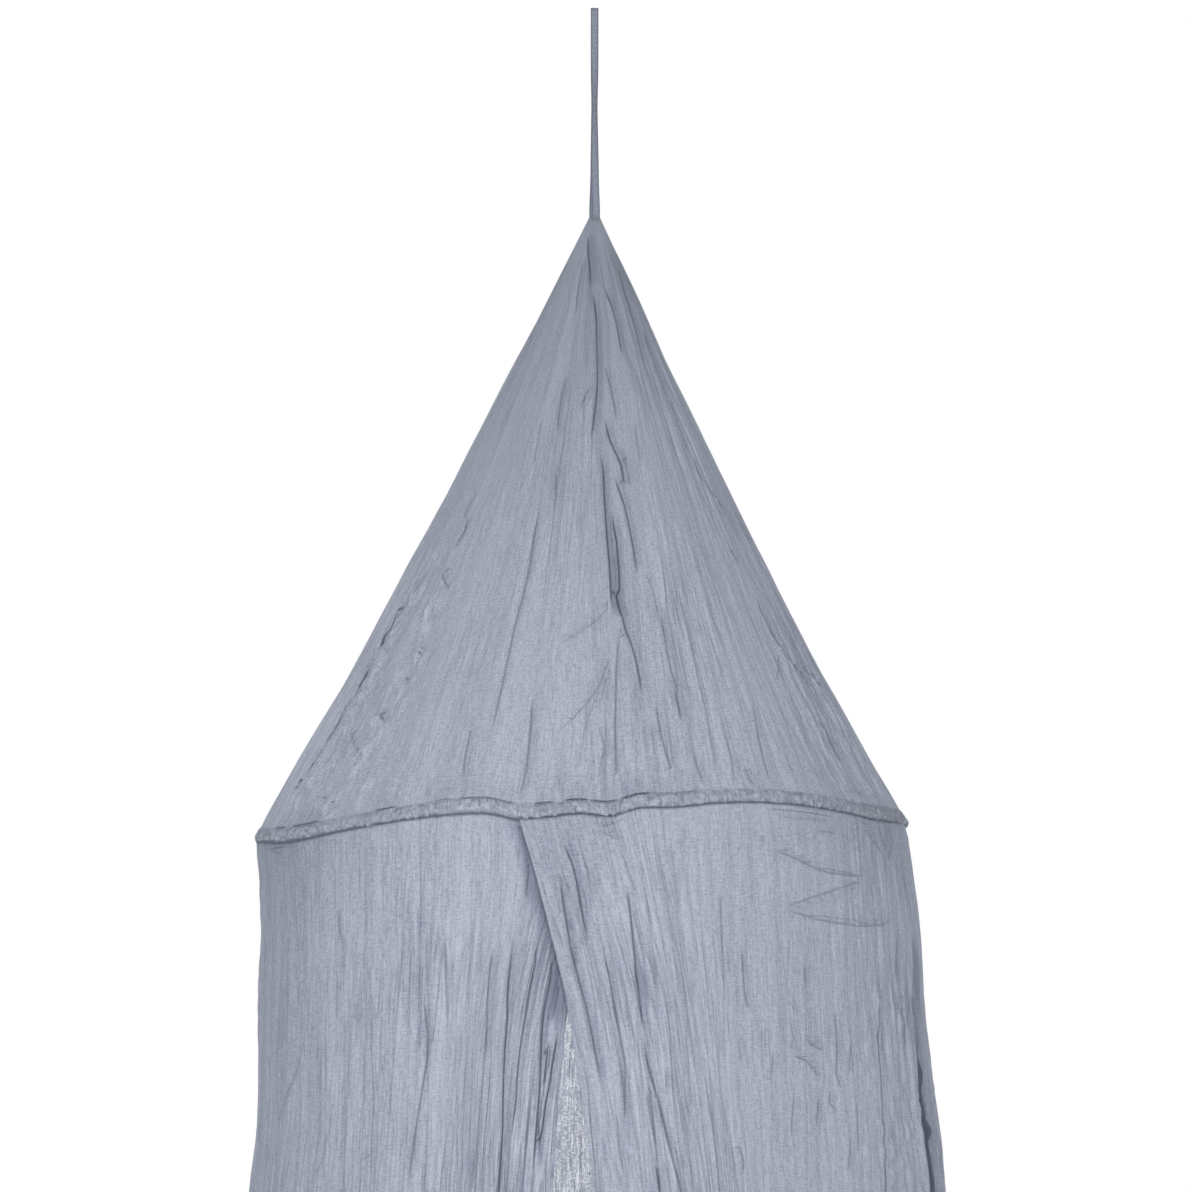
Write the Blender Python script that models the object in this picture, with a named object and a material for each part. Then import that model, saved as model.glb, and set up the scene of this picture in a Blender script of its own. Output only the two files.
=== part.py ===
"""Mosquito net canopy: a conical roof and two curtains of crinkled muslin on a hoop, which
hang from one loop of tape.

Lengths are in metres, +Z is up, and the origin is where a ceiling hook bears in the top of
the loop. +X is the canopy's right side as seen from the front, and -Y is the front, where
the curtains lap and then part. An azimuth is an angle in degrees round the hoop's centre:
0 at the front, 90 at the right side, 180 at the back and -90 at the left side. A drop is a
distance down from the top of the curtains, and a way is the part of the roof's slope
above a point, from 0 at the collar to 1 at the hoop.
"""

import math
from collections import namedtuple

import bmesh
import bpy
from mathutils import Vector

# The whole canopy
CLOTH = 0.0010  # thickness of the muslin and the tape
SEWN_GAP = 0.0003  # left between two pieces that are sewn together
COLLAR_LEVEL = -0.1675  # top of the roof, where the tape goes in
HOOP_LEVEL = -0.6464  # middle of the hoop
CURTAIN_DROP = 0.914  # from the casing to the hem

# The hoop: a springy ring, which hangs a little to the left and lower on that side
HOOP_RADIUS = 0.2457
HOOP_THICKNESS = 0.0050
HOOP_SHIFT = -0.0107
HOOP_TILT = math.radians(1.4)
HOOP_SIDES = 72

# The casing: a sleeve that is round under the hoop and runs up in line with the roof to two
# lips, which its top row of stitches draws together
CASING_RADIUS = 0.0038
CASING_ROUND_FACES = 5
CASING_RISE = 0.0069  # from the middle of the hoop up to the lips
LIP_SPREAD = 0.0008  # each lip's distance from the middle of the two
ROOF_LEAN = math.radians(27.8)  # from the vertical

# The loop of tape
TAPE_WIDTH = 0.0060
EYE_RADIUS = 0.0050
TAPE_TAIL = 0.012  # length of the ends inside the roof
TAIL_SPREAD = 0.0009  # each end's distance from the middle
TAIL_STRAIGHT = 0.006  # how far above the collar the strands stay together
EYE_STEPS = 8
STRAND_STEPS = 14

# The roof
COLLAR_HALF_WIDTH = 0.0041
COLLAR_HALF_DEPTH = 0.0025
ROOF_EDGE_RISE = CASING_RISE + SEWN_GAP
ROOF_WAYS = (0.0, 0.12, 0.34, 0.58, 0.82, 1.0)
ROOF_FOLDS_END = 0.9  # way from which the folds fade out, to nothing at the casing

# The curtains
CURTAIN_EDGE_OUT = 0.0019  # from the middle of the hoop outwards to their top edges
CURTAIN_EDGE_DOWN = CASING_RADIUS + CLOTH / 2 + SEWN_GAP
SWELL_DROP = 0.012  # over which they come out to the casing's face
LAP_AT_HOOP = 0.0024  # step of the left curtain inwards, where it goes under the right one
LAP_BELOW = 0.0045
LAP_DROP = 0.05
LAP_FULL, LAP_END = 15.0, 40.0  # azimuths
BACK_SEAM = 180 - math.degrees(1.2 * SEWN_GAP / 2 / HOOP_RADIUS)  # azimuth of their back edges
CURTAIN_DROPS = (0.0, 0.012, 0.045, 0.09, 0.145, 0.21, 0.28, 0.38, 0.50, 0.64, 0.78, CURTAIN_DROP)

# Height of the hoop above its own plane, in metres, by azimuth
Bend = namedtuple("Bend", "azimuth lift")
HOOP_BENDS = [
    Bend(-180, 0.0000),
    Bend(-90, 0.0000),
    Bend(-75, -0.0045),
    Bend(-60, -0.0084),
    Bend(-42, -0.0056),
    Bend(-25, -0.0006),
    Bend(-16, -0.0004),
    Bend(-10, -0.0060),
    Bend(-5, -0.0056),
    Bend(0, -0.0038),
    Bend(5, -0.0060),
    Bend(10, -0.0008),
    Bend(16, -0.0003),
    Bend(24, 0.0030),
    Bend(34, 0.0039),
    Bend(48, 0.0008),
    Bend(62, -0.0032),
    Bend(80, -0.0008),
    Bend(95, 0.0000),
    Bend(180, 0.0000),
]

# How far the roof's slope sags inwards on each side, in metres
Sag = namedtuple("Sag", "way left front right back")
ROOF_SAG = [
    Sag(0.00, 0.0000, 0.0000, 0.0000, 0.0000),
    Sag(0.25, 0.0034, 0.0030, 0.0045, 0.0035),
    Sag(0.50, 0.0054, 0.0050, 0.0075, 0.0060),
    Sag(0.75, 0.0050, 0.0040, 0.0072, 0.0050),
    Sag(0.90, 0.0014, 0.0012, 0.0042, 0.0018),
    Sag(1.00, 0.0000, 0.0000, 0.0000, 0.0000),
]

# How far the curtains stand out from the hoop on each side, in metres
Flare = namedtuple("Flare", "drop left front right back")
CURTAIN_FLARE = [
    Flare(0.000, 0.0000, 0.0000, 0.0000, 0.0000),
    Flare(0.030, -0.0042, 0.0010, 0.0032, 0.0000),
    Flare(0.075, -0.0058, 0.0030, 0.0095, 0.0030),
    Flare(0.145, -0.0050, 0.0060, 0.0145, 0.0080),
    Flare(0.215, -0.0040, 0.0090, 0.0202, 0.0130),
    Flare(0.275, 0.0030, 0.0130, 0.0247, 0.0180),
    Flare(0.550, 0.0310, 0.0360, 0.0470, 0.0400),
    Flare(CURTAIN_DROP, 0.0680, 0.0660, 0.0740, 0.0700),
]

# Azimuth of each curtain's free front edge
Edge = namedtuple("Edge", "drop left right")
FRONT_EDGES = [
    Edge(0.000, 6.3, -10.0),
    Edge(0.050, 3.4, -6.6),
    Edge(0.140, -1.9, -1.8),
    Edge(0.265, -4.2, 2.2),
    Edge(0.550, -8.0, 8.5),
    Edge(CURTAIN_DROP, -11.8, 15.3),
]

# Main folds. A fold lies at an azimuth of the cloth's top or bottom edge at the hoop. Its
# width is in degrees, and its depth in metres, below zero for a valley. It comes in at
# start and has its whole depth at full, as ways on the roof and drops on the curtains.
Fold = namedtuple("Fold", "azimuth width depth start full")
ROOF_FOLDS = [
    Fold(-148, 9, 0.0030, 0.35, 0.90),
    Fold(-112, 8, -0.0030, 0.40, 0.85),
    Fold(-64, 7, 0.0025, 0.45, 0.80),
    Fold(-40, 6, -0.0030, 0.50, 0.80),
    Fold(-7, 6, 0.0015, 0.40, 0.75),
    Fold(5, 4, -0.0025, 0.10, 0.45),
    Fold(15, 5, 0.0015, 0.40, 0.75),
    Fold(48, 6, -0.0025, 0.45, 0.80),
    Fold(70, 7, 0.0025, 0.45, 0.80),
    Fold(118, 8, -0.0030, 0.40, 0.85),
    Fold(152, 9, 0.0030, 0.35, 0.90),
]
LEFT_FOLDS = [
    Fold(3, 2.5, -0.0030, 0.08, 0.30),
    Fold(-4, 3.0, 0.0030, 0.08, 0.30),
    Fold(-11, 4.0, -0.0030, 0.10, 0.40),
    Fold(-26, 7.0, 0.0060, 0.25, 0.90),
    Fold(-44, 7.0, -0.0070, 0.25, 0.90),
    Fold(-61, 8.0, 0.0080, 0.20, 0.90),
    Fold(-80, 7.0, -0.0080, 0.20, 0.90),
    Fold(-99, 8.0, 0.0100, 0.15, 0.90),
    Fold(-118, 7.0, -0.0090, 0.12, 0.90),
    Fold(-137, 8.0, 0.0100, 0.12, 0.90),
    Fold(-156, 7.0, -0.0080, 0.15, 0.90),
]
RIGHT_FOLDS = [
    Fold(-4, 2.5, -0.0030, 0.04, 0.30),
    Fold(3.5, 3.0, -0.0035, 0.05, 0.30),
    Fold(11, 4.0, 0.0030, 0.08, 0.40),
    Fold(24, 7.0, 0.0060, 0.25, 0.90),
    Fold(39, 7.0, -0.0070, 0.25, 0.90),
    Fold(54, 7.0, 0.0060, 0.20, 0.90),
    Fold(69, 5.0, 0.0050, 0.04, 0.25),
    Fold(80, 4.0, -0.0240, 0.05, 0.30),
    Fold(94, 6.0, 0.0060, 0.10, 0.90),
    Fold(112, 7.0, -0.0090, 0.12, 0.90),
    Fold(131, 8.0, 0.0100, 0.12, 0.90),
    Fold(152, 7.0, -0.0080, 0.15, 0.90),
]

# Stretches of each curtain where its columns of faces are half as wide, for narrow folds
Stretch = namedtuple("Stretch", "low high")
LEFT_FINE = [Stretch(-16, 6)]
RIGHT_FINE = [Stretch(-10, 16), Stretch(59, 101)]

# Twist of each strand of tape about its own middle, by distance below the hook
Turn = namedtuple("Turn", "below degrees")
TAPE_TURNS = [
    Turn(0.000, 0),
    Turn(0.045, 20),
    Turn(0.072, 44),
    Turn(0.092, 40),
    Turn(0.120, 15),
    Turn(0.140, 0),
    Turn(0.190, 0),
]

MUSLIN_COLOUR = (0.35, 0.38, 0.456, 1.0)
TAPE_COLOUR = (0.223, 0.242, 0.305, 1.0)
HOOP_COLOUR = (0.72, 0.72, 0.70, 1.0)


def table_value(rows, at, column):
    """Value of a table's column where its first column is at, on a smooth curve."""
    places = [row[0] for row in rows]
    values = [getattr(row, column) for row in rows]
    last = len(rows) - 1
    at = min(max(at, places[0]), places[last])
    low = max(number for number in range(last) if places[number] <= at)

    def slope(number):
        before, after = max(number - 1, 0), min(number + 1, last)
        return (values[after] - values[before]) / (places[after] - places[before])

    step = places[low + 1] - places[low]
    part = (at - places[low]) / step
    ease = part * part * (3 - 2 * part)
    start_pull = part * (1 - part) ** 2 * slope(low) * step
    end_pull = part * part * (part - 1) * slope(low + 1) * step
    return values[low] + (values[low + 1] - values[low]) * ease + start_pull + end_pull


def side_value(rows, at, azimuth):
    """Value at an azimuth of a table that has a column for each side of the canopy."""
    turn = math.radians(azimuth)
    weights = {
        "left": max(-math.sin(turn), 0) ** 2,
        "front": max(math.cos(turn), 0) ** 2,
        "right": max(math.sin(turn), 0) ** 2,
        "back": max(-math.cos(turn), 0) ** 2,
    }
    return sum(weight * table_value(rows, at, side) for side, weight in weights.items())


def ramp(value, start, full):
    """0 up to start, 1 from full on, and eased between."""
    part = min(max((value - start) / (full - start), 0), 1)
    return part * part * (3 - 2 * part)


def fold_height(folds, azimuth, along):
    """How far the folds together lift the cloth off its even shape."""
    height = 0.0
    for fold in folds:
        away = (azimuth - fold.azimuth + 180) % 360 - 180
        crest = math.exp(-((away / fold.width) ** 2))
        height += fold.depth * crest * ramp(along, fold.start, fold.full)
    return height


def outward(azimuth):
    turn = math.radians(azimuth)
    return Vector((math.sin(turn), -math.cos(turn), 0))


def hoop_corner(number, out, up):
    """Corner of the many-sided hoop, moved outwards and upwards."""
    azimuth = (number * 360 / HOOP_SIDES + 180) % 360 - 180
    point = outward(azimuth) * (HOOP_RADIUS + out)
    point.z = up + table_value(HOOP_BENDS, azimuth, "lift") + point.x * math.tan(HOOP_TILT)
    return point


def hoop_point(azimuth, out=0.0, up=0.0):
    """Point on the hoop's straight sides, so that all that is sewn there lies alike."""
    number, part = divmod(azimuth % 360 * HOOP_SIDES / 360, 1)
    start = hoop_corner(int(number), out, up)
    return start.lerp(hoop_corner(int(number) + 1, out, up), part)


def principled(name, colour, roughness):
    material = bpy.data.materials.new(name)
    material.use_nodes = True
    shader = material.node_tree.nodes["Principled BSDF"]
    shader.inputs["Base Color"].default_value = colour
    shader.inputs["Roughness"].default_value = roughness
    shader.inputs["Metallic"].default_value = 0.0
    material.diffuse_color = colour
    return material


def cloth_piece(name, grid, ring, material, parent):
    """Cloth through the rows of points in grid. A ring joins each row's end to its start."""
    mesh = bmesh.new()
    rows = [[mesh.verts.new(point) for point in row] for row in grid]
    for upper, lower in zip(rows, rows[1:]):
        count = len(upper)
        for left in range(count if ring else count - 1):
            right = (left + 1) % count
            mesh.faces.new((upper[left], upper[right], lower[right], lower[left]))
    data = bpy.data.meshes.new(name)
    mesh.to_mesh(data)
    mesh.free()
    data.materials.append(material)
    data.shade_smooth()
    piece = bpy.data.objects.new(name, data)
    piece.parent = parent
    bpy.context.scene.collection.objects.link(piece)
    thickness = piece.modifiers.new("thickness", "SOLIDIFY")
    thickness.thickness = CLOTH
    thickness.offset = 0
    return piece


def empty(name, location, parent=None):
    point = bpy.data.objects.new(name, None)
    point.location = location
    point.parent = parent
    bpy.context.scene.collection.objects.link(point)
    return point


def tape_line():
    """Height and distance from the middle of the tape, up one strand, over and down."""
    bend = EYE_RADIUS + CLOTH / 2
    end_level = COLLAR_LEVEL - TAPE_TAIL
    strand = []
    for step in range(STRAND_STEPS):
        level = end_level + (-EYE_RADIUS - end_level) * step / STRAND_STEPS
        above_collar = ramp(level, COLLAR_LEVEL + TAIL_STRAIGHT, -EYE_RADIUS)
        strand.append((TAIL_SPREAD + (bend - TAIL_SPREAD) * above_collar, level))
    top = []
    for step in range(EYE_STEPS + 1):
        turn = math.pi * step / EYE_STEPS
        top.append((bend * math.cos(turn), bend * math.sin(turn) - EYE_RADIUS))
    return strand + top + [(-off, level) for off, level in reversed(strand)]


def make_hang_loop(material, parent):
    grid = []
    for off, level in tape_line():
        turn = math.radians(table_value(TAPE_TURNS, max(-level, 0), "degrees"))
        across = Vector((math.cos(turn), math.sin(turn), 0))
        middle = Vector((0, -off, level))
        grid.append([middle - across * TAPE_WIDTH / 2, middle + across * TAPE_WIDTH / 2])
    return cloth_piece("hang_loop", grid, False, material, parent)


def collar_point(azimuth):
    """Point on the rounded slot at the top of the roof, from the hoop's centre."""
    turn = math.radians(azimuth)
    x = math.copysign(math.sqrt(abs(math.sin(turn))), math.sin(turn)) * COLLAR_HALF_WIDTH
    y = math.copysign(math.sqrt(abs(math.cos(turn))), -math.cos(turn)) * COLLAR_HALF_DEPTH
    return Vector((x - HOOP_SHIFT, y, COLLAR_LEVEL - HOOP_LEVEL))


def sleeve_place(rise, aside):
    """Distances out and up from the hoop of a point up the line of the roof and aside of it."""
    out = aside * math.cos(ROOF_LEAN) - rise * math.sin(ROOF_LEAN)
    up = aside * math.sin(ROOF_LEAN) + rise * math.cos(ROOF_LEAN)
    return out, up


def roof_point(azimuth, way):
    edge = hoop_point(azimuth, *sleeve_place(ROOF_EDGE_RISE, 0))
    inward = side_value(ROOF_SAG, way, azimuth)
    edge_fade = 1 - ramp(way, ROOF_FOLDS_END, 1)
    folded = fold_height(ROOF_FOLDS, azimuth, way) * edge_fade
    return collar_point(azimuth).lerp(edge, way) + outward(azimuth) * (folded - inward)


def make_roof(material, parent):
    azimuths = [number * 360 / HOOP_SIDES for number in range(HOOP_SIDES)]
    grid = [[roof_point(azimuth, way) for azimuth in azimuths] for way in ROOF_WAYS]
    return cloth_piece("roof", grid, True, material, parent)


def make_hoop_casing(material, parent):
    section = [sleeve_place(CASING_RISE, -LIP_SPREAD)]
    for face in range(CASING_ROUND_FACES + 1):
        turn = math.pi * (1 + face / CASING_ROUND_FACES)
        rise = CASING_RADIUS * math.sin(turn)
        section.append(sleeve_place(rise, CASING_RADIUS * math.cos(turn)))
    section.append(sleeve_place(CASING_RISE, LIP_SPREAD))
    grid = [[hoop_corner(number, *place) for number in range(HOOP_SIDES)] for place in section]
    return cloth_piece("hoop_casing", grid, True, material, parent)


def make_hoop(material, parent):
    data = bpy.data.curves.new("hoop", "CURVE")
    data.dimensions = "3D"
    data.twist_mode = "Z_UP"
    data.bevel_depth = HOOP_THICKNESS / 2
    data.bevel_resolution = 1
    line = data.splines.new("POLY")
    line.points.add(HOOP_SIDES - 1)
    for number, point in enumerate(line.points):
        point.co = (*hoop_corner(number, 0, 0), 1)
    line.use_cyclic_u = True
    data.materials.append(material)
    hoop = bpy.data.objects.new("hoop", data)
    hoop.parent = parent
    bpy.context.scene.collection.objects.link(hoop)
    return hoop


def curtain_point(place, drop, side, folds):
    """Point of a curtain. Its place is the azimuth where its thread leaves the hoop."""
    edge_at_hoop = getattr(FRONT_EDGES[0], side)
    edge_here = table_value(FRONT_EDGES, drop, side)
    back = BACK_SEAM if side == "right" else -BACK_SEAM
    across = (place - edge_at_hoop) / (back - edge_at_hoop)
    azimuth = edge_here + (back - edge_here) * across

    swell = ramp(drop, 0, SWELL_DROP)
    out = CURTAIN_EDGE_OUT + (CASING_RADIUS - CURTAIN_EDGE_OUT) * swell
    if side == "left":
        lap = LAP_AT_HOOP + (LAP_BELOW - LAP_AT_HOOP) * ramp(drop, 0, LAP_DROP)
        out -= lap * (1 - ramp(abs(azimuth), LAP_FULL, LAP_END))
    out += side_value(CURTAIN_FLARE, drop, azimuth)
    out += fold_height(folds, place, drop)
    seat = hoop_point(azimuth, out, -CURTAIN_EDGE_DOWN)
    return seat - Vector((0, 0, drop))


def curtain_places(side, fine):
    """Azimuths of a curtain's columns at the hoop, with one at each corner of the hoop."""
    start = getattr(FRONT_EDGES[0], side)
    end = BACK_SEAM if side == "right" else -BACK_SEAM
    low, high = min(start, end), max(start, end)
    side_width = 360 / HOOP_SIDES
    places = {low, high}
    for number in range(-2 * HOOP_SIDES, 2 * HOOP_SIDES):
        azimuth = number * side_width / 2
        narrow = any(stretch.low < azimuth < stretch.high for stretch in fine)
        if low + side_width / 4 < azimuth < high - side_width / 4 and (number % 2 == 0 or narrow):
            places.add(azimuth)
    return sorted(places)


def make_curtain(side, fine, folds, material, parent):
    places = curtain_places(side, fine)
    grid = []
    for drop in CURTAIN_DROPS:
        grid.append([curtain_point(place, drop, side, folds) for place in places])
    return cloth_piece(f"curtain_{side}", grid, False, material, parent)


def main():
    for old in list(bpy.data.objects):
        bpy.data.objects.remove(old, do_unlink=True)
    muslin = principled("muslin", MUSLIN_COLOUR, 0.9)
    tape = principled("tape", TAPE_COLOUR, 0.85)
    plastic = principled("hoop_plastic", HOOP_COLOUR, 0.45)

    hook = empty("hook_point", (0, 0, 0))
    hoop_centre = empty("hoop_centre", (HOOP_SHIFT, 0, HOOP_LEVEL), hook)

    make_hang_loop(tape, hook)
    make_roof(muslin, hoop_centre)
    make_hoop_casing(muslin, hoop_centre)
    make_hoop(plastic, hoop_centre)
    make_curtain("left", LEFT_FINE, LEFT_FOLDS, muslin, hoop_centre)
    make_curtain("right", RIGHT_FINE, RIGHT_FOLDS, muslin, hoop_centre)


main()
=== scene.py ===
"""Looks of a mosquito net canopy: crinkled muslin, sewn round a springy hoop and hung from a
loop of tape.

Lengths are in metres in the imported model's own frame: +Z is up, -Y is the front, and the
origin is where a ceiling hook bears in the top of the loop. An azimuth is an angle in
degrees round the hoop: 0 at the front, 90 at the right side and -90 at the left side. A
drop is a distance down from the top of a curtain, and a way is a part of the roof's slope,
from 0 at its collar to 1 at the hoop.
"""

import math

import bpy
import numpy as np
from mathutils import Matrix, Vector


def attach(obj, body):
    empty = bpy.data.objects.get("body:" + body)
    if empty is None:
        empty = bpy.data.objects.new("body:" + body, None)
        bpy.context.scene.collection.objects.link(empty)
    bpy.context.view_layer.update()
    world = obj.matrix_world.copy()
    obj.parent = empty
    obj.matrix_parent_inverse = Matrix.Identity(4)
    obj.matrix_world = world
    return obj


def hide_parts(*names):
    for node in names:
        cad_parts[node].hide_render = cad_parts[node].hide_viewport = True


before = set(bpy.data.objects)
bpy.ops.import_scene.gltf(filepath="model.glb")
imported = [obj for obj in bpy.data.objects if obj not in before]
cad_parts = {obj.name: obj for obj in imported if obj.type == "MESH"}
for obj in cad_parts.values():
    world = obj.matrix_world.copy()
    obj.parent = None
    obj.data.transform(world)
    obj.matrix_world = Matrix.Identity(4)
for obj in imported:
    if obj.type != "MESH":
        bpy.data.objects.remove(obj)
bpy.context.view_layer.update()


# ---------------------------------------------------------------------------------------
# The hoop: a springy ring of smooth pale plastic, pushed into the casing through its join.
# It hangs a little lower on its left and isn't quite flat, and all the cloth follows it.

HOOP_RADIUS = 0.2457
HOOP_SHIFT = -0.0107
HOOP_LEVEL = -0.6464
HOOP_TILT = math.radians(1.4)
# azimuth, height above the hoop's own plane
HOOP_BENDS = [
    (-180, 0.0), (-90, 0.0), (-75, -0.0045), (-60, -0.0084), (-42, -0.0056), (-25, -0.0006),
    (-16, -0.0004), (-10, -0.0060), (-5, -0.0056), (0, -0.0038), (5, -0.0060), (10, -0.0008),
    (16, -0.0003), (24, 0.0030), (34, 0.0039), (48, 0.0008), (62, -0.0032), (80, -0.0008),
    (95, 0.0), (180, 0.0),
]
PLASTIC_DARK = (0.66, 0.66, 0.64, 1)
PLASTIC_LIGHT = (0.78, 0.78, 0.76, 1)


def table_value(rows, at, column=1):
    """A table's column where its first column is at, on a smooth curve through the rows."""
    places = np.array([row[0] for row in rows], float)
    values = np.array([row[column] for row in rows], float)
    last = len(rows) - 1
    before = np.maximum(np.arange(last + 1) - 1, 0)
    after = np.minimum(np.arange(last + 1) + 1, last)
    slopes = (values[after] - values[before]) / (places[after] - places[before])
    at = np.clip(at, places[0], places[last])
    low = np.clip(np.searchsorted(places, at, side="right") - 1, 0, last - 1)
    step = places[low + 1] - places[low]
    part = (at - places[low]) / step
    ease = part * part * (3 - 2 * part)
    start_pull = part * (1 - part) ** 2 * slopes[low] * step
    end_pull = part * part * (part - 1) * slopes[low + 1] * step
    return values[low] + (values[low + 1] - values[low]) * ease + start_pull + end_pull


def wrapped(azimuth):
    return (azimuth + 180) % 360 - 180


def hoop_line(azimuth, out, up):
    """Points beside the hoop, so far outwards and upwards from the middle of its rod."""
    turn = np.radians(azimuth)
    x = (HOOP_RADIUS + out) * np.sin(turn)
    y = -(HOOP_RADIUS + out) * np.cos(turn)
    z = up + table_value(HOOP_BENDS, wrapped(azimuth)) + x * math.tan(HOOP_TILT)
    return np.stack(np.broadcast_arrays(x + HOOP_SHIFT, y, z + HOOP_LEVEL), -1)


def wire(tree, node, inputs):
    """Gives a node's sockets what they read: numbers, or other nodes' outputs."""
    for socket, value in inputs.items():
        if isinstance(value, bpy.types.NodeSocket):
            tree.links.new(value, node.inputs[socket])
        else:
            node.inputs[socket].default_value = value


def add_node(tree, kind, inputs=None, **settings):
    made = tree.nodes.new(kind)
    for name, value in settings.items():
        setattr(made, name, value)
    wire(tree, made, inputs or {})
    return made


def maths(tree, operation, *values):
    return add_node(tree, "ShaderNodeMath", dict(enumerate(values)), operation=operation).outputs[0]


def new_material(name):
    """An empty material, its node tree and its Principled shader wired to its output."""
    material = bpy.data.materials.new(name)
    material.use_nodes = True
    tree = material.node_tree
    return material, tree, tree.nodes["Principled BSDF"]


def make_plastic():
    plastic, tree, shader = new_material("hoop_plastic")
    place = add_node(tree, "ShaderNodeTexCoord").outputs["Object"]
    cloud = add_node(tree, "ShaderNodeTexNoise", {"Vector": place, "Scale": 60.0}).outputs[0]
    tone = add_node(tree, "ShaderNodeValToRGB", {"Fac": cloud})
    tone.color_ramp.elements[0].color = PLASTIC_DARK
    tone.color_ramp.elements[1].color = PLASTIC_LIGHT
    wire(tree, shader, {"Base Color": tone.outputs[0], "Roughness": 0.42})
    return plastic


hoop_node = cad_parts["hoop"]
hoop_node.data.materials.clear()
hoop_node.data.materials.append(make_plastic())


# ---------------------------------------------------------------------------------------
# The casing: a narrow strip of the same crinkled muslin, folded round the hoop and sewn
# shut along the roof's edge. Its stitches pucker it, and its ends meet right of the front.

CLOTH = 0.0006  # thickness of the muslin here
CASING_RADIUS = 0.0032
CASING_RISE = 0.0069  # from the middle of the hoop up to the lips of the sleeve
# points of the sleeve's section, up the roof's line from the hoop and aside of it, on its
# inside down to the hoop and on its outside up to the lip
SLEEVE_INSIDE = [(CASING_RISE, 0.0022), (0.0035, -0.0018)]
SLEEVE_OUTSIDE = [(0.0020, 0.0033), (0.0040, 0.0032), (0.0057, 0.0029), (CASING_RISE, 0.0024)]
ROOF_LEAN = math.radians(27.8)  # from the vertical
CASING_JOIN = 6.7  # azimuth
CASING_DEGREE = 0.0043  # length of one degree of the casing
PULLED_AT = (90, 0.0165)  # azimuth and place round the sleeve of a corner that is pulled out
# cells of noise round the hoop in each size of pucker, their length round the sleeve, height,
# and whether they are ridges
PUCKERS = [(150, 0.012, 0.0010, True), (330, 0.006, 0.0021, True), (560, 0.003, 0.0011, False)]
PUCKER_LEAN = 150  # degrees for each metre round the sleeve
MUSLIN_LIGHT = (0.450, 0.477, 0.548, 1)
MUSLIN_DARK = (0.180, 0.197, 0.250, 1)
MUSLIN_SHADE = (0.024, 0.028, 0.043, 1)
MUSLIN_GLOW = (0.66, 0.71, 0.83, 1)  # light that comes through the threads
THREAD_PITCH = 0.0009
CREASE_LINE = 0.0008  # half the width of the painted shade line in a crease's bottom, which also dips the bump
# size of each grain across and along the cloth, its layer of noise, and its weights in the
# cloth's height, tone and sheerness
MUSLIN_GRAINS = [
    (0.0014, 0.0150, 1, 0.00016, 0.6, -2.4),  # slubs of the warp
    (0.0060, 0.0013, 2, 0.00013, 0.7, -1.7),  # slubs of the weft
    (0.0022, 0.0040, 3, 0.00008, 0.6, -0.9),  # blotches
    (0.0300, 0.3000, 4, 0, 0.4, 0),  # broad bands
    (0.0011, 0.0012, 8, 0.00012, 1.2, -4.0),  # grit
]
# the same for each size of fine crinkle, with the width of its valleys after the layer; its tone darkens the
# valleys, partly as thicker cloth and partly as painted shade
MUSLIN_VALLEYS = [
    (0.0180, 0.260, 5, 0.05, 0.00065, 0.30, 0),
    (0.0085, 0.130, 6, 0.07, 0.00050, 0.29, 0.3),
    (0.0044, 0.055, 7, 0.10, 0.00034, 0.28, 0.3),
]
MUSLIN_TONE = 0.66  # of plain cloth, between dark and light
SHEER_LEVEL, SHEER_MOST = -0.25, 0.7

# azimuths of the short stretches where the casing's top edge is drawn in to a dark line of painted shade, and
# how far each is drawn in, which sets how dark it is painted
DRAWN_IN_SHADE = [
    (-68, -63.5, 0.7), (-60, -51.5, 1.0), (-37, -33, 0.8), (-25, -22, 0.4), (-20.5, -11, 0.6),
    (-7.5, -4.5, 0.8), (-2.4, 1.3, 0.9), (1.9, 6.2, 0.8), (7.2, 11.4, 1.3), (11.6, 20, 0.4),
    (58, 71, 0.3),
]
DRAWN_EASE = 0.6  # degrees over which each stretch begins and ends, to each side
NOISE_CELLS = 512


def ramp(value, start, full):
    """0 up to start, 1 from full on, and eased between."""
    part = np.clip((value - start) / (full - start), 0, 1)
    return part * part * (3 - 2 * part)


def between(value, start, full, fading, gone):
    """0 up to start, 1 from full to fading, and 0 again from gone on."""
    return ramp(value, start, full) * (1 - ramp(value, fading, gone))


def bell(value, width):
    """1 at zero, falling off over a width to each side."""
    return np.exp(-((value / width) ** 2))


def uneven(across, along, seed, repeat=0):
    """Smooth seeded noise, about -1 to 1. It may repeat after a number of cells across."""
    turns = np.random.default_rng(seed).uniform(0, math.tau, (NOISE_CELLS, NOISE_CELLS))
    across, along = np.broadcast_arrays(across, along)
    column, row = np.floor(across).astype(int), np.floor(along).astype(int)
    x, y = across - column, along - row

    def corner(right, down):
        step = (column + right) % repeat if repeat else column + right
        turn = turns[step % NOISE_CELLS, (row + down) % NOISE_CELLS]
        return np.cos(turn) * (x - right) + np.sin(turn) * (y - down)

    ease_x, ease_y = x * x * (3 - 2 * x), y * y * (3 - 2 * y)
    upper = corner(0, 0) * (1 - ease_x) + corner(1, 0) * ease_x
    lower = corner(0, 1) * (1 - ease_x) + corner(1, 1) * ease_x
    return 1.6 * (upper * (1 - ease_y) + lower * ease_y)


def uneven_round(azimuth, cells, along, seed):
    """The same noise with a whole number of cells round the hoop, so that it closes."""
    return uneven(azimuth / 360 * cells, along, seed, cells)


def ridged(noise, level=0.35):
    """Rounded ridges between thin valleys, about as far above zero as below it."""
    return np.abs(noise) - level


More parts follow.
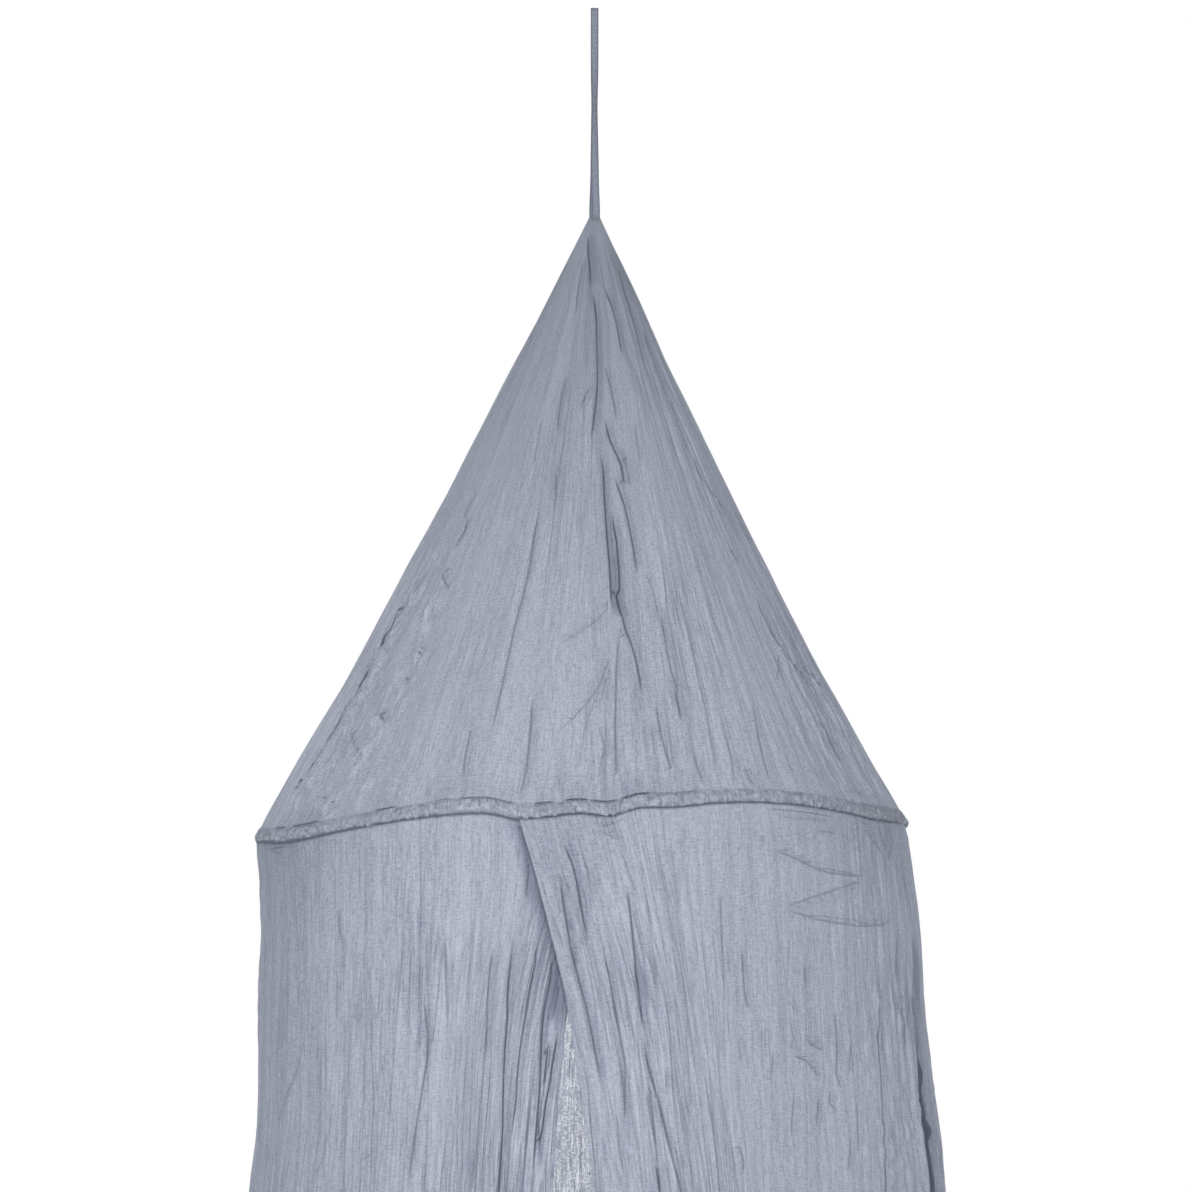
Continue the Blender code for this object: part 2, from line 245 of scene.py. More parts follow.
def drawn_in_shade(azimuth):
    """How dark the painted shade is where the casing's top edge is drawn in, from 0 to about 1."""
    ease = DRAWN_EASE
    return sum(
        depth * between(azimuth, start - ease, start + ease, end - ease, end + ease)
        for start, end, depth in DRAWN_IN_SHADE
    )


def columns_between(*stretches):
    """Azimuths along the hoop, from stretches of start, end and spacing in metres."""
    columns = []
    for start, end, spacing in stretches:
        count = max(round(math.radians(abs(end - start)) * HOOP_RADIUS / spacing), 1)
        columns.append(np.linspace(start, end, count, endpoint=False))
    return np.concatenate(columns)


def run_length(x, y):
    """Distance along a line of points, from its start."""
    return np.concatenate(([0], np.cumsum(np.hypot(np.diff(x), np.diff(y)))))


def closed_flat(azimuth, along):
    """Places on the cut cloth of a piece that closes round the hoop, its first column twice."""
    flat = np.stack((np.radians(azimuth) * HOOP_RADIUS, along), -1)
    return np.concatenate((flat, flat[:, :1] + (math.tau * HOOP_RADIUS, 0)), 1)


def add_object(name, data):
    made = bpy.data.objects.new(name, data)
    bpy.context.scene.collection.objects.link(made)
    return made


def cloth_piece(name, points, flat, marks, ring=False):
    """Thin closed cloth through rows of points, from the top down and seen from outside.

    flat is each point's place on the cut cloth, and marks are the point attributes."""
    rows, columns = points.shape[:2]
    order = np.arange(rows * columns).reshape(rows, columns)
    if ring:
        order = np.concatenate((order, order[:, :1]), axis=1)
    corners = (slice(1, None), slice(-1)), (slice(1, None), slice(1, None))
    corners += (slice(-1), slice(1, None)), (slice(-1), slice(-1))
    faces = np.stack([order[corner] for corner in corners], -1).reshape(-1, 4)
    data = bpy.data.meshes.new(name)
    data.from_pydata(points.reshape(-1, 3).tolist(), [], faces.tolist())
    places = np.stack([flat[corner] for corner in corners], 2)
    data.uv_layers.new(name="cloth").data.foreach_set("uv", places.astype(np.float32).ravel())
    for mark, values in marks.items():
        attribute = data.attributes.new(mark, "FLOAT", "POINT")
        values = np.broadcast_to(values, (rows, columns)).astype(np.float32)
        attribute.data.foreach_set("value", values.ravel())
    data.shade_smooth()
    piece = add_object(name, data)
    thickness = piece.modifiers.new("thickness", "SOLIDIFY")
    thickness.thickness = CLOTH
    thickness.offset = 0
    return piece


def add_sockets(group, way, kinds):
    """A node group's named inputs or outputs."""
    for name, kind in kinds.items():
        group.interface.new_socket(name, in_out=way, socket_type="NodeSocket" + kind)


def mixed(tree, share, first, second):
    """A colour between two, each a plain colour or another node's output."""
    inputs = {"Factor": share, "A": first, "B": second}
    return add_node(tree, "ShaderNodeMix", inputs, data_type="RGBA").outputs["Result"]


def make_muslin_group():
    """Slubs, fine crinkle, weave and creases of muslin, with painted shade, from a place on the cut cloth."""
    group = bpy.data.node_groups.new("muslin_surface", "ShaderNodeTree")
    add_sockets(group, "INPUT", {
        "Place": "Vector", "Fine": "Float", "Side": "Float", "Crease": "Float", "Painted Shade": "Float",
        "Double": "Float",
    })
    add_sockets(group, "OUTPUT", {"Colour": "Color", "Cover": "Float", "Height": "Float"})
    given = add_node(group, "NodeGroupInput").outputs
    flat = add_node(group, "ShaderNodeSeparateXYZ", {"Vector": given["Place"]}).outputs

    def grain(across, along, layer):
        """Noise stretched to a size across and along the cloth."""
        place = add_node(group, "ShaderNodeCombineXYZ", {
            "X": maths(group, "DIVIDE", flat["X"], across),
            "Y": maths(group, "DIVIDE", flat["Y"], along),
            "Z": float(layer),
        }).outputs[0]
        settings = {"Vector": place, "Scale": 1.0, "Detail": 1.0, "Distortion": 0.3}
        found = add_node(group, "ShaderNodeTexNoise", settings).outputs[0]
        return maths(group, "SUBTRACT", found, 0.5)

    def valleys(across, along, layer, width):
        """0 along the thin crooked bottoms of long valleys, and 1 away from them."""
        off = maths(group, "ABSOLUTE", grain(across, along, layer))
        return maths(group, "MINIMUM", maths(group, "DIVIDE", off, width), 1.0)

    def weighted(values, column, *more):
        """Sum of values times their weights in a column, and of more values times theirs."""
        total = 0.0
        for value, weight in [(value, weights[column]) for value, weights in values] + list(more):
            if weight:
                total = maths(group, "MULTIPLY_ADD", value, weight, total)
        return total

    grains = [(grain(*row[:3]), row[3:]) for row in MUSLIN_GRAINS]
    crinkles = [(valleys(*row[:4]), row[4:]) for row in MUSLIN_VALLEYS]
    threads = maths(group, "MULTIPLY", *(
        maths(group, "SINE", maths(group, "MULTIPLY", flat[axis], math.tau / THREAD_PITCH))
        for axis in "XY"
    ))
    # a painted shade line along the bottom of a crease, which also dips the bump
    off = maths(group, "DIVIDE", given["Side"], CREASE_LINE)
    line = maths(group, "EXPONENT", maths(group, "MULTIPLY", maths(group, "MULTIPLY", off, off), -1.0))
    line = maths(group, "MULTIPLY", line, given["Crease"])

    relief = maths(group, "MULTIPLY", weighted(crinkles, 0), given["Fine"])
    height = weighted(grains, 0, (relief, 1.0), (threads, 0.00003), (line, -0.0007))
    lines = maths(group, "MULTIPLY", weighted(crinkles, 1), given["Fine"])
    # tone: slubs and bands at random, the crinkle's valleys darker than its ridges (partly thicker cloth,
    # partly painted shade), and the painted shade from the marks, a painted highlight where it is below zero
    tone = weighted(grains, 1, (lines, 1.0), (given["Fine"], -0.67), (given["Painted Shade"], -0.95))
    tone = maths(group, "ADD", tone, MUSLIN_TONE)
    colour = mixed(group, tone, MUSLIN_DARK, MUSLIN_LIGHT)
    # the painted shade line of the creases
    crease_shaded = mixed(group, maths(group, "MULTIPLY", line, 0.92), colour, MUSLIN_SHADE)
    # sheer spots, where the cloth is one layer
    sheer = maths(group, "ADD", weighted(grains + crinkles, 2, (line, -0.6)), SHEER_LEVEL)
    sheer = maths(group, "MAXIMUM", sheer, 0.0)
    sheer = maths(group, "MULTIPLY", sheer, maths(group, "SUBTRACT", 1.0, given["Double"]))
    cover = maths(group, "SUBTRACT", 1.0, maths(group, "MINIMUM", sheer, SHEER_MOST))
    add_node(group, "NodeGroupOutput", {"Colour": crease_shaded, "Cover": cover, "Height": height})
    return group


def make_muslin():
    """Thin cloth that shows what is behind it, and whose closed sheet is seen once."""
    muslin, tree, shader = new_material("muslin")
    surface = add_node(tree, "ShaderNodeGroup", node_tree=make_muslin_group())
    read = {"Place": add_node(tree, "ShaderNodeUVMap", uv_map="cloth").outputs[0]}
    for socket, mark in (
        ("Fine", "fine"), ("Side", "crease_side"), ("Crease", "crease"), ("Painted Shade", "painted_shade"),
        ("Double", "double"),
    ):
        read[socket] = add_node(tree, "ShaderNodeAttribute", attribute_name=mark).outputs["Fac"]
    wire(tree, surface, read)
    bump = add_node(tree, "ShaderNodeBump", {"Height": surface.outputs["Height"], "Distance": 1.0}).outputs[0]
    wire(tree, shader, {
        "Base Color": surface.outputs["Colour"], "Alpha": surface.outputs["Cover"], "Normal": bump,
        "Roughness": 0.9, "Specular IOR Level": 0.15, "Sheen Weight": 0.12, "Sheen Roughness": 0.5,
    })
    through = add_node(tree, "ShaderNodeBsdfTranslucent", {"Color": MUSLIN_GLOW, "Normal": bump}).outputs[0]
    # a single layer glows more in light from behind
    glow = maths(tree, "MAXIMUM", maths(tree, "MULTIPLY_ADD", read["Double"], -0.5, 0.36), 0.3)
    thin = add_node(tree, "ShaderNodeMixShader", {0: glow, 1: shader.outputs[0], 2: through}).outputs[0]
    behind = add_node(tree, "ShaderNodeNewGeometry").outputs["Backfacing"]
    clear = add_node(tree, "ShaderNodeBsdfTransparent").outputs[0]
    once = add_node(tree, "ShaderNodeMixShader", {0: behind, 1: thin, 2: clear}).outputs[0]
    wire(tree, tree.nodes["Material Output"], {"Surface": once})
    return muslin


muslin = make_muslin()


def finish_cloth(piece, node):
    piece.data.materials.append(muslin)
    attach(piece, "root")
    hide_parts(node)


def sleeve_place(rise, aside):
    """Distances out and up from the hoop of a point up the line of the roof and aside of it."""
    out = aside * math.cos(ROOF_LEAN) - rise * math.sin(ROOF_LEAN)
    up = aside * math.sin(ROOF_LEAN) + rise * math.cos(ROOF_LEAN)
    return out, up


def make_casing():
    turns = np.linspace(math.pi, math.tau, 11)
    round_hoop = np.stack((CASING_RADIUS * np.sin(turns), CASING_RADIUS * np.cos(turns)), -1)
    rise, aside = np.concatenate((SLEEVE_INSIDE, round_hoop, SLEEVE_OUTSIDE)).T
    length = run_length(rise, aside)
    azimuth, rise = np.meshgrid(columns_between((-95, 95, 0.00066), (95, 265, 0.0024)), rise)
    aside = np.repeat(aside[:, None], azimuth.shape[1], 1)
    girth = np.repeat(length[:, None], azimuth.shape[1], 1)

    # puckers from the stitching: narrow ridges across the sleeve that lean and fork
    lean = azimuth + girth * PUCKER_LEAN * uneven_round(azimuth, 50, girth / 0.02, 10)
    pucker = 0.0
    for seed, (cells, long, tall, ridge) in enumerate(PUCKERS, start=11):
        noise = uneven_round(lean, cells, girth / long, seed)
        pucker = pucker + tall * (ridged(noise) if ridge else noise)
    pucker = pucker * (0.8 + 0.9 * uneven_round(azimuth, 36, 0, 14))
    free = ramp(girth, 0, 0.003) * (1 - 0.7 * ramp(girth, length[-1] - 0.0018, length[-1]))
    join_side = wrapped(azimuth - CASING_JOIN) * CASING_DEGREE
    grow = 1 + (np.maximum(pucker, -0.0005) * free - 0.0005 * bell(join_side, 0.0012) * free) / CASING_RADIUS
    # less on the inside of the sleeve, which rests on the hoop
    grow = np.where(girth > length[-1] / 2, grow, 1 + (grow - 1) * 0.3)
    out, up = sleeve_place(rise * np.where(rise < 0.0015, grow, 1), aside * grow)
    # the strip is pulled out to a corner low on its outside, at the right end of the hoop
    pulled = bell(azimuth - PULLED_AT[0], 8) * bell(girth - PULLED_AT[1], 0.0030)
    points = hoop_line(azimuth, out + 0.0022 * pulled, up - 0.0008 * pulled)

    # painted shade lines along the join and the drawn-in top edge
    top = length[-1] - 0.0011 + 0.0005 * uneven(azimuth / 1.3, 0, 15)
    at_join = (np.abs(join_side) < 0.0022) & (girth < top - 0.0012)
    side = np.where(at_join, join_side, girth - top)
    crease = np.where(at_join, 0.35, np.where(girth > top - 0.004, drawn_in_shade(azimuth), 0))
    # the sleeve is darker all over, with painted shade that rises and falls along its dents
    dent_shade = uneven(lean / 0.9, girth / 0.0030, 16) + 0.7 * uneven(lean / 0.45, girth / 0.0018, 17)
    marks = {
        "fine": 0.45, "painted_shade": 0.14 + 0.45 * dent_shade, "crease_side": side, "crease": crease, "double": 0.8,
    }
    return cloth_piece("casing_sleeve", points, closed_flat(azimuth, girth), marks, ring=True)


casing = make_casing()
finish_cloth(casing, "hoop_casing")


# ---------------------------------------------------------------------------------------
# The roof: one piece of crinkled muslin, rolled into a cone and joined along the centre
# front. Its lower edge is sewn into the casing, and its point is gathered round the tape.

COLLAR_LEVEL = -0.1675
COLLAR_HALF_WIDTH = 0.0041
COLLAR_HALF_DEPTH = 0.0025
ROOF_EDGE_RISE = CASING_RISE - 0.0008
ROOF_EDGE_ASIDE = 0.0027
ROOF_SLOPE = 0.540  # length of the cloth from the collar to the casing
ROOF_FOLDS_END = 0.9  # the way from which the folds die out towards the casing
POINT_RADIUS = 0.006  # of the gathered cloth at the collar

# way, inward sag on the left, front, right and back
ROOF_SAG = [
    (0.00, 0.0, 0.0, 0.0, 0.0),
    (0.25, 0.0034, 0.0030, 0.0045, 0.0035),
    (0.50, 0.0054, 0.0050, 0.0075, 0.0060),
    (0.75, 0.0050, 0.0040, 0.0072, 0.0050),
    (0.90, 0.0014, 0.0012, 0.0042, 0.0018),
    (1.00, 0.0, 0.0, 0.0, 0.0),
]
# azimuth, width in degrees, depth (below zero for a valley), way where it starts and is full
ROOF_FOLDS = [
    (-148, 9, 0.0030, 0.35, 0.90), (-112, 8, -0.0030, 0.40, 0.85), (-64, 7, 0.0025, 0.45, 0.80),
    (-40, 6, -0.0030, 0.50, 0.80), (-7, 6, 0.0015, 0.40, 0.75), (5, 4, -0.0025, 0.10, 0.45),
    (15, 5, 0.0015, 0.40, 0.75), (48, 6, -0.0025, 0.45, 0.80), (70, 7, 0.0025, 0.45, 0.80),
    (118, 8, -0.0030, 0.40, 0.85), (152, 9, 0.0030, 0.35, 0.90),
]
# strength, below zero where the raised lip is on the line's other side, then the azimuth and
# way of points down each crease, and a soft one's width against the others'
ROOF_CREASES = [
    # from the point down
    (1.1, [(-17.8, 0.032), (-4.3, 0.091), (-2.0, 0.125)]),
    (1.1, [
        (-0.9, 0.136), (2.4, 0.162), (3.9, 0.191), (4.2, 0.249),
        (4.1, 0.3), (2.9, 0.336), (0.8, 0.402),
    ]),
    (1.0, [(14.3, 0.13), (19.6, 0.157), (22.4, 0.194), (22.7, 0.232), (21.7, 0.254)]),
    (0.8, [(50.1, 0.09), (45.1, 0.132), (42.3, 0.184), (41.1, 0.229), (39.5, 0.266)]),
    (0.8, [(54.6, 0.201), (52.4, 0.245), (50.7, 0.29), (50.6, 0.319)]),
    (0.9, [(53.5, 0.324), (51.4, 0.361), (50.9, 0.386), (50.2, 0.418)]),
    (0.6, [(53.0, 0.423), (51.9, 0.456), (55.8, 0.484), (60.5, 0.508)]),
    (0.6, [(8.5, 0.273), (11.6, 0.304), (12.9, 0.34), (13.1, 0.369)]),
    (1.1, [(7.6, 0.367), (9.0, 0.401), (11.6, 0.427), (13.4, 0.448), (13.8, 0.483)]),
    (0.6, [(-15.0, 0.284), (-15.8, 0.323), (-15.5, 0.359), (-14.6, 0.388)]),
    (0.6, [(-0.2, 0.305), (-3.8, 0.336), (-4.7, 0.346)]),
    (0.5, [(-12.4, 0.454), (-11.5, 0.495), (-11.3, 0.526)]),
    (0.35, [(-24.0, 0.364), (-23.3, 0.408), (-22.4, 0.443)]),
    (0.3, [(-51.1, 0.314), (-50.6, 0.341), (-50.6, 0.366)]),
    (0.5, [(-49.2, 0.469), (-50.0, 0.495), (-49.9, 0.512)]),
    (0.6, [(-17.7, 0.08), (-18.1, 0.118), (-15.8, 0.177)]),
    (0.5, [(22.3, 0.377), (21.5, 0.45)]),
    # the seam and its pinch, with the creases that fan out below
    (1.1, [
        (4.6, 0.421), (6.2, 0.454), (6.1, 0.486), (6.3, 0.535),
        (6.8, 0.613), (7.0, 0.674), (7.8, 0.70),
    ]),
    (1.0, [(10.1, 0.466), (11.8, 0.498), (13.1, 0.526), (14.1, 0.577), (14.6, 0.635)]),
    (0.6, [(15.3, 0.424), (15.1, 0.459), (16.0, 0.485)]),
    (1.2, [(8.3, 0.532), (9.3, 0.583), (9.5, 0.625), (9.3, 0.666), (8.6, 0.685), (9.3, 0.701)]),
    (1.5, [(8.0, 0.664), (8.7, 0.684), (9.3, 0.706)]),
    (1.0, [(8.8, 0.590), (8.7, 0.615), (8.4, 0.650), (8.0, 0.694)], 2.2),
    (-0.42, [(7.0, 0.674), (6.3, 0.685), (3.7, 0.7), (1.3, 0.718), (-2.2, 0.733), (-6.6, 0.746)]),
    (0.9, [(8.5, 0.682), (9.4, 0.701), (9.9, 0.727), (11.1, 0.757), (11.9, 0.793), (12.4, 0.843)]),
    (0.6, [(8.4, 0.724), (8.2, 0.745), (7.5, 0.78), (7.0, 0.829), (6.6, 0.881), (6.3, 0.981)]),
    (-0.5, [(6.6, 0.765), (5.3, 0.779), (3.6, 0.812), (1.5, 0.841), (-1.4, 0.868), (-4.5, 0.889)]),
    (0.4, [(5.3, 0.784), (4.0, 0.835)]),
    (0.4, [(3.4, 0.879), (4.7, 0.92)]),
    (0.4, [(5.7, 0.906), (3.8, 0.929), (3.3, 0.968)]),
    (0.35, [(3.6, 0.815), (1.5, 0.861), (0.6, 0.9)]),
    # lower left
    (0.9, [(-47.0, 0.514), (-45.8, 0.538), (-47.6, 0.563)]),
    (0.7, [
        (-16.2, 0.522), (-16.4, 0.564), (-16.2, 0.613), (-16.5, 0.666),
        (-16.9, 0.715), (-17.0, 0.791), (-17.2, 0.901),
    ]),
    (0.6, [(-10.4, 0.832), (-9.7, 0.875), (-9.7, 0.948), (-10.1, 0.978), (-10.5, 0.988)]),
    (0.4, [(-3.7, 0.959), (-3.4, 0.982)]),
    (0.5, [(-21.7, 0.885), (-21.4, 0.94), (-20.5, 0.979)]),
    (0.4, [(-27.3, 0.97), (-27.4, 0.99)]),
    (1.3, [
        (-57.2, 0.593), (-60.5, 0.622), (-63.6, 0.66), (-62.8, 0.72),
        (-63.4, 0.796), (-64.6, 0.892), (-67.1, 0.926), (-71.0, 0.952),
    ]),
    (1.2, [(-48.4, 0.834), (-45.1, 0.847)]),
    (0.7, [(-55.8, 0.852), (-52.1, 0.877), (-46.8, 0.903)]),
    (1.1, [(-45.0, 0.777), (-43.2, 0.785)]),
    (0.9, [(-44.5, 0.735), (-43.0, 0.744)]),
    (0.7, [(-44.3, 0.592), (-47.7, 0.609), (-41.9, 0.638)]),
    (0.9, [(-54.7, 0.955), (-52.0, 0.963), (-49.3, 0.973)]),
    # lower right
    (0.6, [(19.3, 0.712), (19.3, 0.752), (19.3, 0.803), (20.2, 0.846)]),
    (0.8, [(19.3, 0.835), (19.5, 0.867), (19.3, 0.885)]),
    (0.7, [(14.9, 0.853), (15.0, 0.9), (15.7, 0.935), (16.4, 0.967), (17.3, 0.985)]),
    (0.3, [(16.9, 0.637), (18.3, 0.671), (18.6, 0.701)]),
    (0.5, [(26.1, 0.722), (25.2, 0.813), (25.2, 0.877), (24.9, 0.931), (25.2, 0.977)]),
    (0.5, [(28.5, 0.867), (28.2, 0.914), (28.2, 0.953), (27.4, 0.989)]),
    (0.6, [(37.1, 0.856), (35.9, 0.908), (35.2, 0.955), (34.9, 0.983)]),
    (0.7, [(30.6, 0.965), (30.9, 0.992)]),
    (0.8, [(55.9, 0.664), (55.1, 0.687), (56.2, 0.719), (57.2, 0.756)]),
    (0.8, [(52.6, 0.579), (55.3, 0.61)]),
    (0.6, [(54.7, 0.756), (49.0, 0.806)]),
    (0.9, [(57.2, 0.756), (60.0, 0.776), (62.6, 0.81)]),
    (0.8, [(62.8, 0.756), (65.6, 0.783), (69.6, 0.81)]),
    (0.7, [(57.9, 0.861), (58.4, 0.892), (58.5, 0.935)]),
    (0.5, [(20.8, 0.936), (21.6, 0.989)]),
    (0.6, [(56.6, 0.982), (59.3, 0.977), (60.9, 0.984), (61.8, 0.993)]),
]
# way, azimuth of the furrow beside the centre front seam
ROOF_SEAM = [
    (0.0, 0.0), (0.10, -2.0), (0.14, -0.9), (0.19, 3.9), (0.30, 4.1), (0.42, 4.6), (0.50, 6.2),
    (0.61, 6.9), (0.69, 8.0), (1.0, 8.0),
]
PINCH_WAY = 0.688
ROOF_CRINKLE = (26, 52, 104, 208)  # cells of noise round the roof in each size of crinkle
CRINKLE_RISE = 0.19  # height of crinkle against its size
ROOF_CRUMPLE = 0.0042
ROOF_CRUMPLE_SHADE = 110  # change of painted shade for each metre of a crumple's height: painted shade in its valleys and a painted highlight on its ridges
CREASE_WIDTH = 0.0014
CREASE_DEPTH = 0.0012
CREASE_REACH = 0.012  # a crease presses nothing further off than this
SOFT_SHADE, FIRM_SHADE = 0.0035, 0.0026  # how far the shade beside a crease spreads


def side_value(rows, at, azimuth):
    """Value at an azimuth of a table with columns for the left, front, right and back."""
    turn = np.radians(azimuth)
    facing = (-np.sin(turn), np.cos(turn), np.sin(turn), -np.cos(turn))
    return sum(
        np.maximum(weight, 0) ** 2 * table_value(rows, at, column)
        for column, weight in enumerate(facing, start=1)
    )


def fold_height(folds, azimuth, along):
    height = 0.0
    for middle, width, depth, start, full in folds:
        crest = np.exp(-((wrapped(azimuth - middle) / width) ** 2))
        height = height + depth * crest * ramp(along, start, full)
    return height


def press_creases(azimuth, along, degree, creases, along_scale=1.0):
    """Height that the listed creases add, and the marks for their painted shade: a dark line in their
    bottoms, and shade in their troughs and beside them.

    along and degree are in metres: how far down the cloth, and how long one degree is."""
    height = np.zeros(azimuth.shape)
    side = np.full(azimuth.shape, 0.01)
    mark = np.zeros(azimuth.shape)
    painted_shade = np.zeros(azimuth.shape)
    for strength, line, *wide in creases:
        width = CREASE_WIDTH * (wide[0] if wide else 1)
        line_azimuth, line_along = np.array(line, float).T
        line_along = line_along * along_scale
        near = (along > line_along.min() - CREASE_REACH) & (along < line_along.max() + CREASE_REACH)
        near &= (azimuth - line_azimuth.min()) * degree > -CREASE_REACH
        near &= (azimuth - line_azimuth.max()) * degree < CREASE_REACH
        x = (line_azimuth[:, None] - azimuth[near]) * degree[near]
        y = line_along[:, None] - along[near]
        run_x, run_y = np.diff(x, axis=0), np.diff(y, axis=0)
        length = np.hypot(run_x, run_y)
        part = np.clip(-(x[:-1] * run_x + y[:-1] * run_y) / length**2, 0, 1)
        far = np.hypot(x[:-1] + part * run_x, y[:-1] + part * run_y)
        best = far.argmin(0)
        pick = (best, np.arange(best.size))
        past = np.cumsum(length, 0)[pick] - length[pick] * (1 - part[pick])
        share = past / length.sum(0)
        taper = ramp(np.minimum(share, 1 - share), -0.03, 0.14) * abs(strength)
        turned = np.sign(run_x * -y[:-1] + run_y * x[:-1])[pick] * math.copysign(1, strength)
        apart = far[pick] * np.where(turned == 0, 1, turned)
        trough = bell(apart, width)
        height[near] += CREASE_DEPTH * taper * (0.45 * bell(apart - 2.1 * width, width) - trough)
        if wide:
            # a soft crease has no dark line in its bottom, only painted shade in its trough, and beside it
            # when it is narrower than the others
            beside = 0.12 * bell(apart + SOFT_SHADE, SOFT_SHADE) if wide[0] < 1 else 0
            painted_shade[near] += taper * (0.45 * trough + beside)
            continue
        # painted shade beside a firm crease, and the painted dark line in its bottom
        painted_shade[near] += 0.28 * taper * bell(apart + FIRM_SHADE, FIRM_SHADE)
        window = taper * (1 - ramp(np.abs(apart), 0.0024, 0.0045))
        stronger = window > mark[near]
        side[near] = np.where(stronger, apart, side[near])
        mark[near] = np.where(stronger, window, mark[near])
    return height, side, mark, painted_shade


def roof_crinkle(azimuth, along):
    """Crinkle that fans out from the point: finer threads of it start further down."""
    height = np.zeros(azimuth.shape)
    drift = 1.1 * uneven_round(azimuth, 30, along / 0.16, 20)
    for number, cells in enumerate(ROOF_CRINKLE):
        size = math.tau * (POINT_RADIUS + along / ROOF_SLOPE * HOOP_RADIUS) / cells
        shown = between(size, 0.0030, 0.0060, 0.016, 0.026)
        patch = 0.8 + 0.7 * uneven_round(azimuth, 22, along / 0.11, 30 + number)
        ridge = ridged(uneven_round(azimuth + drift, cells, along / 0.13, 21 + number))
        height += ridge * size * CRINKLE_RISE * shown * patch
    return height * (1 + 0.35 * (1 - ramp(along / ROOF_SLOPE, 0.25, 0.55)))


def collar_line(azimuth):
    """Points round the flattened ring where the cloth is gathered on the tape."""
    turn = np.radians(azimuth)
    x = np.sign(np.sin(turn)) * np.sqrt(np.abs(np.sin(turn))) * COLLAR_HALF_WIDTH
    y = -np.sign(np.cos(turn)) * np.sqrt(np.abs(np.cos(turn))) * COLLAR_HALF_DEPTH
    return np.stack((x, y, np.full(x.shape, COLLAR_LEVEL)), -1)


def roof_points(azimuth, way, height):
    """Points on the cone, moved off it by a height along its own slope's normal."""
    edge = hoop_line(azimuth, *sleeve_place(ROOF_EDGE_RISE, ROOF_EDGE_ASIDE))
    inward = side_value(ROOF_SAG, way, azimuth)
    folded = fold_height(ROOF_FOLDS, azimuth, way) * (1 - ramp(way, ROOF_FOLDS_END, 1))
    out = folded - inward + height * math.cos(ROOF_LEAN)
    turn = np.radians(azimuth)
    move = np.stack((out * np.sin(turn), -out * np.cos(turn), height * math.sin(ROOF_LEAN)), -1)
    collar = collar_line(azimuth)
    return collar + (edge - collar) * way[..., None] + move


def make_roof():
    columns = columns_between(
        (-95, -70, 0.0030), (-70, -58, 0.0012), (-58, -22, 0.0019), (-22, 26, 0.0012), (26, 72, 0.0019),
        (72, 95, 0.0032), (95, 265, 0.0068),
    )
    ways = np.concatenate((
        np.linspace(0, 0.06, 6)[:-1], np.linspace(0.06, 0.97, 74), [0.98, 0.988, 0.994, 1],
    ))
    unwrapped, way = np.meshgrid(columns, ways)
    azimuth = wrapped(unwrapped)
    along = way * ROOF_SLOPE
    degree = math.radians(1) * (POINT_RADIUS + way * HOOP_RADIUS)
    pressed, side, crease, painted_shade = press_creases(azimuth, along, degree, ROOF_CREASES, ROOF_SLOPE)
    # small crumples low on the left, and beside the right end of the hoop
    crumple = ridged(uneven_round(azimuth, 150, along / 0.010, 60), 0.3)
    at_left = 1.7 * between(azimuth, -68, -60, -50, -36) * ramp(way, 0.5, 0.65)
    at_right = 0.8 * between(azimuth, 44, 58, 64, 76) * ramp(way, 0.55, 0.8)
    crumple *= ROOF_CRUMPLE * (at_left + at_right)
    crumple *= ramp(uneven(azimuth / 7, along / 0.035, 61), -0.6, 0.0)
    sewn = between(way, 0, 0.05, 0.975, 1)
    points = roof_points(azimuth, way, (roof_crinkle(azimuth, along) + pressed + crumple) * sewn)

    patch = uneven_round(azimuth, 14, along / 0.15, 29)
    calm = 1 - 0.25 * bell(azimuth, 18) * ramp(way, 0.6, 0.75) - 0.35 * between(azimuth, -80, -55, -14, -2)
    fine = (0.62 * ramp(way, 0.02, 0.10) + 0.38 * ramp(way, 0.3, 0.9)) * (0.72 + 0.6 * patch) * calm
    # painted shade, darker up towards the point, and on the crumples painted shade in their valleys and a
    # painted highlight on their ridges
    painted_shade += 0.30 * (1 - ramp(way, 0, 0.85)) - ROOF_CRUMPLE_SHADE * crumple
    # painted shade in the seam's furrow, from the point down to the pinch, darker at the pinch
    off_seam = (azimuth - table_value(ROOF_SEAM, way)) * degree
    painted_shade += 0.26 * bell(off_seam, 0.0032) * between(way, 0.01, 0.05, 0.67, 0.72)
    painted_shade += 0.5 * bell(off_seam, 0.0035) * bell(way - PINCH_WAY, 0.012)
    # painted shade in the groove above the casing where its edge is drawn in: a dark line and a darker band
    drawn = drawn_in_shade(azimuth)
    groove = (way > 0.965) & (drawn > 0.05)
    side = np.where(groove, (way - 1) * ROOF_SLOPE + 0.0004, side)
    crease = np.where(groove, np.minimum(1.2 * drawn, 1), crease)
    painted_shade += 0.22 * drawn * ramp(way, 0.965, 0.98)
    # a painted highlight on the strip outside the long crease at the left
    painted_shade -= 0.22 * between(azimuth, -100, -85, -70, -65) * ramp(way, 0.56, 0.66)
    marks = {
        "fine": fine, "crease_side": side, "crease": crease, "painted_shade": painted_shade,
        "double": 0.64 + 0.3 * (1 - ramp(way, 0, 0.06)),
    }
    return cloth_piece("roof_cloth", points, closed_flat(unwrapped, along), marks, ring=True)


roof = make_roof()
finish_cloth(roof, "roof")


# ---------------------------------------------------------------------------------------
# The curtains: two widths of the same muslin, sewn to the casing from the centre back
# round to the front, where the right one laps over the left. They part further down.

